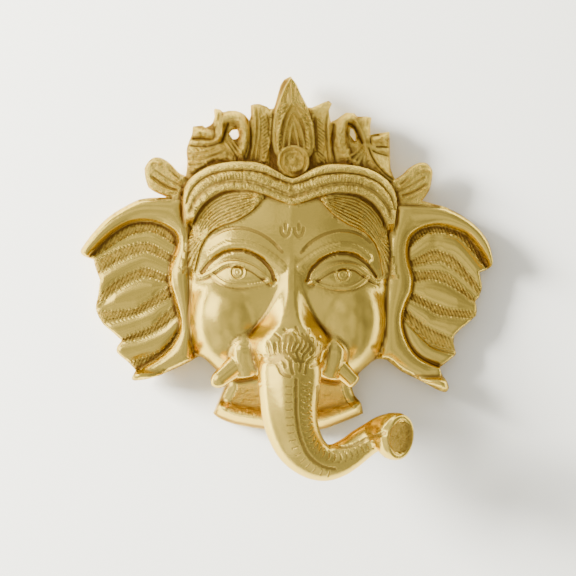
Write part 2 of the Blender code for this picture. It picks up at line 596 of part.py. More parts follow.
def nearest_on_outline(place):
    """The nearest point to a place on the outline or on the edge of a hole."""
    best = None
    for loop in [OUTLINE] + HOLES:
        starts = loop
        ends = np.roll(loop, -1, axis=0)
        run = ends - starts
        spot = np.array([place.x, place.y])
        size = np.maximum((run**2).sum(axis=1), 1e-9)
        t = np.clip(((spot - starts) * run).sum(axis=1) / size, 0, 1)
        points = starts + t[:, None] * run
        distances = np.hypot(*(points - spot).T)
        index = int(np.argmin(distances))
        if best is None or distances[index] < best[0]:
            best = (distances[index], points[index])
    return Vector((best[1][0], best[1][1], 0))


def carved_casting(collection):
    """The carved relief with its hollow back, in metres."""
    thing = placed("mask", flat_sheet(), collection)
    shell = thing.modifiers.new("shell", "SOLIDIFY")
    shell.thickness = 1.0
    shell.offset = -1
    applied(thing)
    mesh = thing.data
    places = np.empty(len(mesh.vertices) * 3)
    mesh.vertices.foreach_get("co", places)
    places = places.reshape(-1, 3)
    x, y = places[:, 0], places[:, 1]
    behind = places[:, 2] < places[:, 2].mean()
    deep = FACE_DEPTH / DRAWN_DEPTH
    to_drawn = 1 / deep
    heights = front(x, y)
    backs = back(x, y, FACE_WALL * to_drawn, SHEET_WALL * to_drawn, RIM_WIDTH * DRAWN_WIDTH / MASK_WIDTH)
    backs = np.minimum(backs, heights - SHEET_WALL * to_drawn * 0.6)
    places[:, 2] = np.where(behind, backs, heights) * deep
    places[:, 0] *= MASK_WIDTH / DRAWN_WIDTH
    places[:, 1] *= MASK_HEIGHT / DRAWN_HEIGHT
    mesh.vertices.foreach_set("co", places.ravel())
    mesh.update()
    fewer = thing.modifiers.new("fewer", "DECIMATE")
    fewer.ratio = CARVING_TRIANGLES / sum(len(face.vertices) - 2 for face in mesh.polygons)
    applied(thing)
    return thing


def to_metres(x, y, z):
    """A drawn place as a place on the real mask."""
    return Vector((x * MASK_WIDTH / DRAWN_WIDTH, y * MASK_HEIGHT / DRAWN_HEIGHT, z * FACE_DEPTH / DRAWN_DEPTH))


def loft(name, rings, collection):
    """A closed solid through rings of points."""
    bm = bmesh.new()
    loops = [[bm.verts.new(point) for point in ring] for ring in rings]
    sides = len(rings[0])
    for first, second in zip(loops, loops[1:]):
        for i in range(sides):
            j = (i + 1) % sides
            bm.faces.new((first[i], first[j], second[j], second[i]))
    bm.faces.new(reversed(loops[0]))
    bm.faces.new(loops[-1])
    bmesh.ops.recalc_face_normals(bm, faces=bm.faces)
    mesh = bpy.data.meshes.new(name)
    bm.to_mesh(mesh)
    bm.free()
    thing = placed(name, mesh, collection)
    thing.hide_render = True
    thing.display_type = "WIRE"
    return thing


def trunk(collection):
    """The free part of the trunk, with a keel along its front and a flared tip that faces out and up."""
    trunk_wider = TRUNK_WIDTH / MASK_WIDTH * DRAWN_WIDTH / DRAWN_TRUNK_WIDTH
    trunk_deeper = TRUNK_DEPTH / FACE_DEPTH * DRAWN_DEPTH / DRAWN_TRUNK_DEPTH
    path = smooth_line([row[:3] for row in TRUNK_PATH], steps=8)
    sizes = smooth_line([row[3:] for row in TRUNK_PATH], steps=8)
    picks = np.linspace(0, len(path) - 1, TRUNK_RINGS)
    indexes = np.arange(len(path))
    centres = np.array([[np.interp(pick, indexes, path[:, axis]) for axis in range(3)] for pick in picks])
    halves = np.array([[np.interp(pick, indexes, sizes[:, axis]) for axis in range(2)] for pick in picks])
    halves *= [trunk_wider, trunk_deeper]
    travel = np.gradient(centres, axis=0)
    rings = []
    for centre, half, run in zip(centres, halves, travel):
        forward = Vector(run).normalized()
        across = Vector((0, 0, 1)).cross(forward).normalized()
        up = forward.cross(across)
        ring = []
        for side in range(TRUNK_SIDES):
            angle = 2 * math.pi * (side + 0.5) / TRUNK_SIDES
            keel = 1 + 0.09 * max(0.0, math.sin(angle))**10
            spot = Vector(centre) + across * half[0] * math.cos(angle) + up * half[1] * math.sin(angle) * keel
            ring.append(to_metres(*spot))
        rings.append(ring)
    return loft("trunk", rings, collection)


def tusk(number, start, end, wide, narrow, collection):
    """A tusk as a tapered round bar with a blunt end."""
    start = Vector(start)
    end = Vector(end)
    forward = (end - start).normalized()
    across = Vector((0, 0, 1)).cross(forward).normalized()
    up = forward.cross(across)
    rings = []
    for share, size in ((0, 1), (0.5, 0.5), (0.9, 0.1), (1, -0.35)):
        radius = narrow + (wide - narrow) * size
        centre = start.lerp(end, share)
        ring = []
        for side in range(TUSK_SIDES):
            angle = 2 * math.pi * side / TUSK_SIDES
            ring.append(to_metres(*(centre + radius * (across * math.cos(angle) + up * math.sin(angle)))))
        rings.append(ring)
    return loft(f"tusk_{number}", rings, collection)


def box(name, low, high, collection):
    """A plain block between two corners."""
    bm = bmesh.new()
    bmesh.ops.create_cube(bm, size=1)
    low = Vector(low)
    high = Vector(high)
    bmesh.ops.transform(bm, matrix=Matrix.LocRotScale((low + high) / 2, None, high - low), verts=bm.verts)
    mesh = bpy.data.meshes.new(name)
    bm.to_mesh(mesh)
    bm.free()
    thing = placed(name, mesh, collection)
    thing.hide_render = True
    thing.display_type = "WIRE"
    return thing


def combine(thing, tool, operation):
    """Join a tool to an object, or cut it away."""
    change = thing.modifiers.new(operation.lower(), "BOOLEAN")
    change.operation = operation
    change.solver = "EXACT"
    change.object = tool
    applied(thing)


def centre_on_floor(thing):
    """Put the middle of the mask over the origin and its rim on the floor."""
    corners = np.array([vertex.co for vertex in thing.data.vertices])
    low = corners.min(axis=0)
    high = corners.max(axis=0)
    thing.data.transform(Matrix.Translation((-(low[0] + high[0]) / 2, -(low[1] + high[1]) / 2, 0)))


def main():
    clear_scene()
    collection = bpy.data.collections.new("ganesha_mask")
    cutters = bpy.data.collections.new("cutters")
    bpy.context.scene.collection.children.link(collection)
    bpy.context.scene.collection.children.link(cutters)
    mask = carved_casting(collection)
    reach = MASK_WIDTH
    combine(mask, box("below_rim", (-reach, -reach, -reach), (reach, reach, 0), cutters), "DIFFERENCE")
    combine(mask, trunk(cutters), "UNION")
    for number, (start, end, wide, narrow) in enumerate(TUSKS, 1):
        combine(mask, tusk(number, start, end, wide, narrow, cutters), "UNION")
    half_span = max(place[0] for place in RIM_OUTSIDE) * MASK_WIDTH / DRAWN_WIDTH - RIM_WIDTH / 2
    low = (-half_span, BAR_PLACE - BAR_WIDTH / 2, BAR_CLEARANCE)
    high = (half_span, BAR_PLACE + BAR_WIDTH / 2, BAR_CLEARANCE + BAR_THICKNESS)
    combine(mask, box("hanging_bar", low, high, cutters), "UNION")
    centre_on_floor(mask)
    mask.data.materials.clear()
    mask.data.materials.append(brass())


main()
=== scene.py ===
"""The looks of a cast brass Ganesha mask, lying on its back under soft studio light.

The casting is drawn in millimetres as heights over its outline, part by part: head, eyes, hair, head
band, crown, leaves, ears and jaw. A fine sheet takes those heights, the hollow back closes it, and the
trunk and tusks are joined to it before the last marks are engraved.
"""

import logging
import math
from dataclasses import dataclass, field
from enum import Enum
from typing import ClassVar

import bmesh
import bpy
import numpy as np
from mathutils import Matrix, Vector


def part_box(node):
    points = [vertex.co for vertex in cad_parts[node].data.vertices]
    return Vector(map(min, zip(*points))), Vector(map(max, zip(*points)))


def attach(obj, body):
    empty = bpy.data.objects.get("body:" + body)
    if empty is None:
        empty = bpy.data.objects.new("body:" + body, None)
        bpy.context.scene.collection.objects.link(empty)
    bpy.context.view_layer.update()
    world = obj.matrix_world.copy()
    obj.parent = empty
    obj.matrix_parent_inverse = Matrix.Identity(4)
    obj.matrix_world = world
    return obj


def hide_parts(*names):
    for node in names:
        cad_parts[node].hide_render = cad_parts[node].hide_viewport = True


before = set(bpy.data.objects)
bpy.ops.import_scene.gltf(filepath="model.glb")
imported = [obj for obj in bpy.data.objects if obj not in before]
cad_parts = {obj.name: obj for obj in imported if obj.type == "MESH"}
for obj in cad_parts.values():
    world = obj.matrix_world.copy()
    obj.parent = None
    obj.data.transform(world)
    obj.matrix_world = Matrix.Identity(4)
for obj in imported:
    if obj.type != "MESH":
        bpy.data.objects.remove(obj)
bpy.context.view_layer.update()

LOG = logging.getLogger("ganesha_mask")
MILLIMETRE = 0.001

Points = list[tuple[float, float]]
Heights = np.ndarray


class Side(Enum):
    """The two sides of the mask, as the viewer sees them."""

    LEFT = -1
    RIGHT = 1


def fade(t: Heights) -> Heights:
    """Return 0 below 0, 1 above 1 and a smooth rise between."""
    t = np.clip(t, 0, 1)
    return t * t * (3 - 2 * t)


def bump(distance: Heights, half: float) -> Heights:
    """Return a smooth ridge of height 1 that is gone at half its width from the middle."""
    t = np.clip(1 - (distance / half) ** 2, 0, 1)
    return t * t


def arch(a: Heights, b: Heights) -> Heights:
    """Return a round arch of height 1 between two edges that are a and b away.

    Args:
        a: The distances to one edge.
        b: The distances to the other edge.

    Returns:
        The arch's heights.
    """
    a = np.maximum(a, 0)
    b = np.maximum(b, 0)
    return 2 * np.sqrt(a * b) / (a + b + 1e-6)


def dome(rho: Heights, power: float = 0.5) -> Heights:
    """Return a round cap of height 1 that ends where rho is 1 and falls away beyond it."""
    return np.where(rho < 1, np.maximum(1 - rho**2, 0) ** power, 1 - rho)


def higher(a: Heights, b: Heights, blend: float) -> Heights:
    """Return the higher of two surfaces, with a soft crease."""
    return 0.5 * (a + b + np.sqrt((a - b) ** 2 + blend**2))


def lower(a: Heights, b: Heights, blend: float) -> Heights:
    """Return the lower of two surfaces, with a soft edge."""
    return 0.5 * (a + b - np.sqrt((a - b) ** 2 + blend**2))


def beads(along: Heights, pitch: float) -> Heights:
    """Return a row of round beads along a line, 1 at each bead and 0 between two."""
    return np.sqrt(np.abs(np.sin(math.pi * along / pitch)))


def smooth_line(points: Points, closed: bool = False, steps: int = 6) -> np.ndarray:
    """Run a Catmull-Rom curve through points.

    Args:
        points: The points that the curve passes through.
        closed: Whether the last point leads back to the first.
        steps: How many straight pieces stand for the curve between two points.

    Returns:
        The curve as rows of coordinates.
    """
    p = np.array(points, float)
    if closed:
        p = np.vstack([p[-1:], p, p[:2]])
    else:
        p = np.vstack([2 * p[:1] - p[1:2], p, 2 * p[-1:] - p[-2:-1]])
    t = np.linspace(0, 1, steps, endpoint=False)[:, None]
    spans = []
    for a, b, c, d in zip(p[:-3], p[1:-2], p[2:-1], p[3:]):
        straight = 2 * b + (c - a) * t
        bend = (2 * a - 5 * b + 4 * c - d) * t**2 + (3 * b - a - 3 * c + d) * t**3
        spans.append(0.5 * (straight + bend))
    if not closed:
        spans.append(p[-2:-1])
    return np.vstack(spans)


@dataclass
class Stroke:
    """A line drawn on the mask, from which distances are measured.

    Attributes:
        line: The line as rows of x and y.
        closed: Whether it is a loop.
    """

    line: np.ndarray
    closed: bool = False

    @classmethod
    def through(cls, points: Points, closed: bool = False, steps: int = 6) -> "Stroke":
        """Make a stroke that runs smoothly through points."""
        return cls(smooth_line(points, closed, steps), closed)

    @classmethod
    def loop(cls, stretches: list[Points]) -> "Stroke":
        """Make a closed stroke from smooth stretches that meet at corners."""
        return cls(np.vstack([smooth_line(stretch)[:-1] for stretch in stretches]), True)

    def measure(self, x: Heights, y: Heights) -> tuple[Heights, Heights]:
        """Measure how far places lie from the stroke.

        Args:
            x: The places' x.
            y: The places' y.

        Returns:
            The distance, positive on the left of the stroke's travel, and how far along it the nearest
            point is.
        """
        ends = np.roll(self.line, -1, axis=0) if self.closed else self.line[1:]
        starts = self.line if self.closed else self.line[:-1]
        best = np.full(x.shape, 1e9)
        signed = np.zeros(x.shape)
        along = np.zeros(x.shape)
        travelled = 0.0
        for (ax, ay), (bx, by) in zip(starts, ends):
            ux, uy = bx - ax, by - ay
            length = math.hypot(ux, uy)
            if length < 1e-6:
                continue
            t = np.clip(((x - ax) * ux + (y - ay) * uy) / length**2, 0, 1)
            distance = np.hypot(x - ax - t * ux, y - ay - t * uy)
            across = (ux * (y - ay) - uy * (x - ax)) / length
            rank = distance - 1e-4 * np.abs(across)
            nearer = rank < best
            best[nearer] = rank[nearer]
            signed[nearer] = np.where(across < 0, -distance, distance)[nearer]
            along[nearer] = (travelled + t * length)[nearer]
            travelled += length
        return signed, along

    def near(self, x: Heights, y: Heights, reach: float) -> tuple[Heights, Heights]:
        """Measure only the places within reach of the stroke's box, and put the rest at that distance.

        A reach that is a whole number also cuts the distances to whole millimetres.

        Args:
            x: The places' x.
            y: The places' y.
            reach: How far round the stroke's box places are still measured.

        Returns:
            The distance and how far along the stroke, as measure gives them.
        """
        low = self.line.min(axis=0) - reach
        high = self.line.max(axis=0) + reach
        here = (x > low[0]) & (x < high[0]) & (y > low[1]) & (y < high[1])
        distance = np.full(x.shape, reach)
        along = np.zeros(x.shape)
        distance[here], along[here] = self.measure(x[here], y[here])
        return distance, along

    def holds(self, x: Heights, y: Heights) -> np.ndarray:
        """Tell which places lie within the closed stroke.

        Args:
            x: The places' x.
            y: The places' y.

        Returns:
            True for each place inside.
        """
        found = np.zeros(x.shape, bool)
        for (ax, ay), (bx, by) in zip(self.line, np.roll(self.line, -1, axis=0)):
            if ay != by:
                found ^= ((ay > y) != (by > y)) & (x < (bx - ax) * (y - ay) / (by - ay) + ax)
        return found

    def nearest(self, x: float, y: float) -> tuple[float, np.ndarray]:
        """Find the stroke's nearest point to a place, and its distance.

        Args:
            x: The place's x.
            y: The place's y.

        Returns:
            The distance and the nearest point.
        """
        starts = self.line
        run = np.roll(self.line, -1, axis=0) - starts
        spot = np.array([x, y])
        size = np.maximum((run**2).sum(axis=1), 1e-9)
        t = np.clip(((spot - starts) * run).sum(axis=1) / size, 0, 1)
        points = starts + t[:, None] * run
        distances = np.hypot(*(points - spot).T)
        index = int(np.argmin(distances))
        return float(distances[index]), points[index]


@dataclass
class Mark:
    """A carved line: a ridge, or a groove where its height is below zero.

    Attributes:
        half: Half its width.
        height: How high it stands.
        points: The points that it passes through.
        pitch: The distance between its beads, or 0 for a plain line.
    """

    half: float
    height: float
    points: Points
    pitch: float = 0.0

    def carve(self, x: Heights, y: Heights) -> Heights:
        """Return the height that the mark adds over each place.

        Args:
            x: The places' x.
            y: The places' y.

        Returns:
            The added heights.
        """
        distance, along = Stroke.through(self.points).near(x, y, self.half + 1)
        shape = bump(distance, self.half)
        if self.pitch:
            shape = shape * (0.35 + 0.65 * beads(along, self.pitch))
        return self.height * shape


@dataclass
class Outline:
    """The edge of the casting and of the two holes that pierce its crown."""

    crown_left: list[Points] = field(default_factory=lambda: [
        [(-0.8, 118.5), (-5.2, 116), (-7.4, 111), (-8.9, 105), (-10.4, 99.8), (-12.8, 98.8)],
        [(-12.8, 98.8), (-15, 100.5), (-20, 101.8), (-24, 101)],
        [(-24, 101), (-23.8, 95), (-24.6, 92)],
        [(-24.6, 92), (-27, 94.8), (-31, 97), (-36, 97.5), (-40, 96.4)],
        [(-40, 96.4), (-42, 98), (-45, 98), (-44.8, 93), (-46.3, 89.5), (-50, 87.3)],
        [(-50, 87.3), (-52, 88.5), (-57.3, 87.8)],
        [(-57.3, 87.8), (-57.8, 83), (-60.8, 74), (-60, 66), (-60.9, 58.5)],
        [(-60.9, 58.5), (-65, 60.6), (-69.5, 65.2), (-75, 68.6), (-80, 68.6), (-84, 64.2), (-84.4, 58),
         (-82, 51.5), (-76.5, 48), (-69, 46)],
    ])
    ear_left: list[Points] = field(default_factory=lambda: [
        [(-69, 46), (-78, 45.6), (-87, 44.4), (-95, 40.5), (-105, 33.8), (-113, 25.3), (-119, 17),
         (-120.8, 13.2), (-118.5, 10.6), (-113, 8.8)],
        [(-113, 8.8), (-112, 4.5), (-109, -3)],
        [(-109, -3), (-110, -12), (-111, -20), (-107, -28), (-101, -33), (-95.5, -38)],
        [(-95.5, -38), (-98.3, -42), (-97.5, -45.5), (-92, -50), (-87, -55)],
        [(-87, -55), (-89.2, -59), (-87.5, -60.6), (-79, -59.2), (-68, -55.2), (-58, -50.4), (-50, -45.6)],
    ])
    jaw: list[Points] = field(default_factory=lambda: [
        [(-50, -45.6), (-46, -48), (-41, -52.8), (-36, -58), (-34, -62.5)],
        [(-34, -62.5), (-36.4, -68), (-39, -75), (-41.2, -79.4)],
        [(-41.2, -79.4), (-37, -82.4), (-28, -85.4), (-12, -87.8), (5, -88.6), (22, -87.4), (34, -83.2),
         (42, -79.8), (46.8, -77.4)],
        [(46.8, -77.4), (44.5, -71), (40.5, -66), (38.5, -61)],
        [(38.5, -61), (42, -56), (47, -50), (54, -45)],
    ])
    ear_right: list[Points] = field(default_factory=lambda: [
        [(54, -45), (60, -46), (68, -52), (79, -57), (88, -61.8), (94, -63.6), (95.8, -61)],
        [(95.8, -61), (93.8, -56), (91, -49.8)],
        [(91, -49.8), (96, -45.6), (101, -41.6)],
        [(101, -41.6), (99.6, -36), (99, -31)],
        [(99, -31), (102.6, -26.9), (108, -22.4), (112.6, -18.4)],
        [(112.6, -18.4), (112.4, -14), (111.5, -9.8)],
        [(111.5, -9.8), (114, -7), (115.2, -2), (114.2, 3), (113.3, 7)],
        [(113.3, 7), (117.3, 8.4), (120.7, 11), (121.2, 15), (118.9, 24), (113.4, 31.8), (105, 38.6),
         (94.6, 43.9), (84, 46.6), (78, 48)],
    ])
    crown_right: list[Points] = field(default_factory=lambda: [
        [(78, 48), (82, 54), (83.4, 60), (83.6, 66), (80, 70), (75, 69.8), (70, 67), (66, 63), (61.5, 60)],
        [(61.5, 60), (59, 66), (58.5, 76), (58.2, 88)],
        [(58.2, 88), (52, 87), (46.5, 85.6)],
        [(46.5, 85.6), (46.4, 90), (47, 95.8), (42, 96.4), (38.6, 96.2)],
        [(38.6, 96.2), (35.5, 98.4), (31, 97.6), (27, 94.6), (23, 92.4)],
        [(23, 92.4), (22, 96), (21.8, 99), (23.4, 103), (21.5, 105)],
        [(21.5, 105), (17, 103.2), (13, 100.9), (9.8, 100)],
        [(9.8, 100), (7.4, 104), (5.2, 108.4), (2.9, 113.6), (-0.8, 118.5)],
    ])
    hole_left: Points = field(default_factory=lambda: [
        (-36, 83.5), (-34.2, 86), (-31.6, 86.2), (-30.6, 83.4), (-31.6, 81), (-34.2, 80.8)])
    hole_right: Points = field(default_factory=lambda: [
        (34.4, 89.2), (36.4, 88.6), (38, 84.6), (37.8, 82), (35.8, 82.2), (34.2, 85.6)])
    edge_round: float = 2.6
    edge_fall: float = 2.2
    hole_round: float = 2.0
    hole_fall: float = 1.6
    hole_reach: int = 4

    def __post_init__(self) -> None:
        """Join the stretches into loops."""
        stretches = self.crown_left + self.ear_left + self.jaw + self.ear_right + self.crown_right
        self.edge = Stroke.loop(stretches)
        self.holes = [Stroke.through(points, closed=True) for points in (self.hole_left, self.hole_right)]

    def holds(self, x: Heights, y: Heights) -> np.ndarray:
        """Tell which places lie on the casting.

        Args:
            x: The places' x.
            y: The places' y.

        Returns:
            True for each place on it.
        """
        found = self.edge.holds(x, y)
        for hole in self.holes:
            found &= ~hole.holds(x, y)
        return found

    def nearest(self, x: float, y: float) -> np.ndarray:
        """Return the nearest point of the outline or of a hole's edge."""
        return min((loop.nearest(x, y) for loop in [self.edge] + self.holes), key=lambda found: found[0])[1]

    def inset(self, x: Heights, y: Heights) -> Heights:
        """Return how far each place lies from the outline."""
        return np.abs(self.edge.measure(x, y)[0])

    def rounding(self, x: Heights, y: Heights, inset: Heights) -> Heights:
        """Return how far the worn edge of the casting is rounded down over each place.

        Args:
            x: The places' x.
            y: The places' y.
            inset: How far inside the outline the places lie.

        Returns:
            How far the surface falls.
        """
        fall = self.edge_fall * (1 - np.sqrt(1 - (1 - np.clip(inset / self.edge_round, 0, 1)) ** 2))
        for hole in self.holes:
            distance, _ = hole.near(x, y, self.hole_reach)
            near_hole = 1 - np.clip(np.abs(distance) / self.hole_round, 0, 1)
            fall = np.maximum(fall, self.hole_fall * near_hole**2)
        return fall


@dataclass
class Head:
    """The head's round forms, the nose that becomes the trunk, the brows and the eyes."""

    nose_y: list[float] = field(
        default_factory=lambda: [22, 10, -2, -10, -17, -24, -30, -35, -40, -46, -52, -60])
    nose_foot: list[float] = field(
        default_factory=lambda: [3.4, 5.6, 9, 11.5, 14.6, 18.6, 23.5, 27.6, 27, 23.6, 21, 20])
    nose_flat: list[float] = field(
        default_factory=lambda: [1.0, 1.4, 1.8, 2.2, 3.0, 4.6, 7.4, 10.0, 10.4, 8, 6, 6])
    nose_top: list[float] = field(
        default_factory=lambda: [44.6, 45.6, 47.6, 50, 52.8, 56.2, 59.8, 63, 65.4, 66.8, 66.6, 66])
    brow: Points = field(default_factory=lambda: [
        (5.5, 15.5), (10, 20.4), (16, 24.6), (23, 27.6), (31, 28.8), (39, 27.2), (46, 22.6)])
    socket: Points = field(default_factory=lambda: [
        (6, 7), (11, 11), (17, 15), (24, 18), (32, 19), (39, 17.6), (45, 13.4)])
    lid_fold: Points = field(default_factory=lambda: [
        (9.6, -1), (10.6, 3), (13, 7), (18, 11.6), (25, 15), (33, 15.4), (40, 13.2), (46, 8.4), (50.5, 2.6)])
    upper_lid: Points = field(default_factory=lambda: [
        (11.5, -1.4), (16, 2.4), (23, 6.8), (31, 9), (38, 8.2), (43, 5), (50, 1), (55, 0.4)])
    lower_lid: Points = field(default_factory=lambda: [
        (12.5, -1.4), (18, -3.2), (26, -4.6), (34, -4.4), (40, -2), (45, 2)])
    eye_centre: tuple[float, float] = (30.2, 3.4)
    eye_half: tuple[float, float] = (16.5, 8.6)
    eye_rise: float = 2.6
    iris_rings: list[tuple[float, float, float]] = field(
        default_factory=lambda: [(4.3, 0.8, 0.45), (3.2, 0.8, -0.4), (1.9, 0.7, 0.3)])
    skull_half: tuple[float, float] = (60.0, 72.0)
    skull_middle: float = 6.0
    skull_foot: float = 17.0
    skull_rise: float = 27.5
    cheek_middle: tuple[float, float] = (34.0, -23.0)
    cheek_half: tuple[float, float] = (24.5, 32.5)
    cheek_foot: float = 15.0
    cheek_rise: float = 29.0
    nose_round: float = 0.012
    nose_floor: float = 42.0
    nose_end: float = -60.0
    bridge_fall: float = 8.0
    under_nose: float = 20.0

    def form(self, x: Heights, y: Heights) -> Heights:
        """Return the plain form of the skull and the cheeks.

        Args:
            x: The places' x.
            y: The places' y.

        Returns:
            The form's heights.
        """
        ax = np.abs(x)
        wide, high = self.skull_half
        skull_rho = ((ax / wide) ** 2.3 + (np.abs(y - self.skull_middle) / high) ** 2.6) ** (1 / 2.4)
        skull = self.skull_foot + self.skull_rise * dome(skull_rho, 0.55)
        (middle_x, middle_y), (wide, high) = self.cheek_middle, self.cheek_half
        cheek_rho = np.hypot((ax - middle_x) / wide, (y - middle_y) / high)
        cheek = self.cheek_foot + self.cheek_rise * dome(cheek_rho)
        return higher(skull, cheek, 3.0)

    def nose(self, x: Heights, y: Heights) -> Heights:
        """Return the bridge of the nose, which widens into the root of the trunk.

        Args:
            x: The places' x.
            y: The places' y.

        Returns:
            The nose's heights.
        """
        ax = np.abs(x)
        rows = np.array(self.nose_y)[::-1]
        foot = self.eased(y, rows, self.nose_foot)
        flat = self.eased(y, rows, self.nose_flat)
        top = self.eased(y, rows, self.nose_top)
        fall = np.clip((ax - flat) / (foot - flat), 0, 3)
        power = 1.1 + 0.9 * fade((-20 - y) / 14)
        side = top - self.nose_round * ax**2 - fall**power * (top - self.nose_floor)
        side = side - self.bridge_fall * fade((y - 2) / 20)
        ending = fade((y - self.nose_end) / 10)
        return side * ending + self.under_nose * (1 - ending)

    @staticmethod
    def eased(y: Heights, rows: np.ndarray, values: list[float]) -> Heights:
        """Read a value that changes smoothly down the nose."""
        curve = smooth_line(list(zip(rows, values[::-1])), steps=8)
        return np.interp(y, curve[:, 0], curve[:, 1])

    def carved(self, x: Heights, y: Heights) -> Heights:
        """Return the face with its brows and eyes.

        Args:
            x: The places' x.
            y: The places' y.

        Returns:
            The face's heights.
        """
        ax = np.abs(x)
        z = self.form(x, y)
        z = z - 3.4 * np.exp(-(((ax - 30) / 17) ** 2) - ((y - 6) / 9) ** 2)
        z = higher(z, self.nose(x, y), 1.0 + 3.0 * fade((y + 12) / 20))
        socket, _ = Stroke.through(self.socket).near(ax, y, 6)
        z = z + 1.5 * bump(socket, 3.4)
        brow, along = Stroke.through(self.brow).near(ax, y, 5)
        taper = fade(along / 6) * fade((46 - along) / 8)
        z = z - 0.8 * bump(brow, 0.75) * taper
        fold, _ = Stroke.through(self.lid_fold).near(ax, y, 4)
        z = z - 1.3 * bump(fold, 1.3)
        return z + self.eye(ax, y)

    def eye(self, ax: Heights, y: Heights) -> Heights:
        """Return the eyeball, the lids round it and the ringed iris.

        Args:
            ax: How far the places lie from the middle line.
            y: The places' y.

        Returns:
            The height that an eye adds.
        """
        upper, _ = Stroke.through(self.upper_lid).near(ax, y, 7)
        under, _ = Stroke.through(self.lower_lid).near(ax, y, 7)
        wide, high = self.eye_half
        ball = np.hypot((ax - self.eye_centre[0]) / wide, (y - 3) / high)
        z = self.eye_rise * np.maximum(1 - ball**2, 0)
        z = z + 1.3 * bump(upper, 1.3) - 0.6 * bump(upper + 1.7, 0.8)
        z = z + 1.1 * bump(under, 1.2) - 0.5 * bump(under - 1.5, 0.7)
        iris = np.hypot(ax - self.eye_centre[0], y - self.eye_centre[1])
        open_eye = fade((-upper - 0.6) / 0.8) * fade((under - 0.6) / 0.8)
        ring = np.zeros(ax.shape)
        for radius, half, rise in self.iris_rings:
            ring = ring + rise * bump(iris - radius, half)
        return z + ring * np.clip(open_eye + 0.2, 0, 1) + 0.5 * bump(iris, 1.3)


@dataclass
class HeadBand:
    """The head band: a plain round ridge, a broad notched roll and a thin notched roll."""

    top: Points = field(default_factory=lambda: [
        (0, 57.8), (4, 59), (9, 62), (15, 65), (24, 67), (36, 66.6), (46, 64.4), (54, 60.2), (60, 54),
        (63, 45)])
    first: Points = field(default_factory=lambda: [
        (0, 54.6), (8, 57.4), (16, 60.4), (26, 62), (37, 61.6), (46, 59.4), (53, 55.4), (58, 49.5),
        (60.5, 42)])
    second: Points = field(default_factory=lambda: [
        (0, 47.6), (6, 49.4), (14, 52.4), (24, 55.2), (35, 55.8), (43, 53.8), (50, 49.8), (56, 43.2),
        (58.5, 36)])
    foot: Points = field(default_factory=lambda: [
        (0, 42), (5, 43.6), (11, 46), (18, 48.6), (25, 50.2), (33, 50.4), (40, 49.2), (46, 46), (51, 41.5),
        (55, 35), (57, 28)])
    notch_pitch: float = 1.85
    fine_pitch: float = 1.5
    ridge_rise: float = 1.9
    roll_rise: float = 2.3
    notch_depth: float = 1.5
    thin_rise: float = 1.6
    fine_depth: float = 1.1

    def carved(self, x: Heights, y: Heights) -> tuple[Heights, Heights, Heights]:
        """Return the band's height, and how far each place lies above its top and above its foot.

        Args:
            x: The places' x.
            y: The places' y.

        Returns:
            The heights, the distances from the top and the distances from the foot.
        """
        ax = np.abs(x)
        base = 20.5 + 21 * np.sqrt(np.maximum(1 - (ax / 70) ** 2, 0))
        top, _ = Stroke.through(self.top).measure(ax, y)
        first, broad = Stroke.through(self.first).measure(ax, y)
        second, _ = Stroke.through(self.second).measure(ax, y)
        foot, fine = Stroke.through(self.foot).measure(ax, y)
        z = base - 0.32 * np.clip(foot, 0, 30)
        z = z + self.ridge_rise * arch(-top, first) ** 0.8 - 0.5 * bump(first, 0.7)
        roll = arch(-first - 0.3, second - 0.5)
        notches = 1 - beads(broad - 0.1 * (first + 3.5) ** 2, self.notch_pitch)
        z = z + self.roll_rise * roll - self.notch_depth * roll * notches
        thin = arch(-second - 0.7, foot)
        z = z + 0.7 * bump(second + 0.1, 0.8)
        z = z + self.thin_rise * thin - self.fine_depth * thin * (1 - beads(fine, self.fine_pitch))
        return z, top, foot


@dataclass
class Hair:
    """Two locks of hair that sweep from under the head band to the temples."""

    foot: Points = field(default_factory=lambda: [
        (17, 44.6), (20, 40.8), (25, 36.4), (32, 32), (39, 29.6), (45, 26), (49, 21), (52, 14), (54, 4)])
    strands: int = 10
    strand_rise: float = 2.1
    inner_edge: float = 15.6

    def carved(self, x: Heights, y: Heights, band: HeadBand) -> Heights:
        """Return the height that the strands add over each place.

        Args:
            x: The places' x.
            y: The places' y.
            band: The head band that the hair comes out from.

        Returns:
            The added heights.
        """
        ax = np.abs(x)
        top, _ = Stroke.through(band.foot).measure(ax, y)
        foot, along = Stroke.through(self.foot).measure(ax, y)
        above = np.clip(-top, 0, None)
        below = np.clip(foot, 0, None)
        share = above / (above + below + 1e-6)
        wave = np.abs(np.sin(math.pi * (self.strands * share + 0.25 * np.sin(along / 9))))
        here = fade(foot / 0.9) * fade(-top + 0.5) * fade((ax - self.inner_edge) / 2) * fade((y - 1) / 6)
        return here * (0.2 + self.strand_rise * wave**0.7)


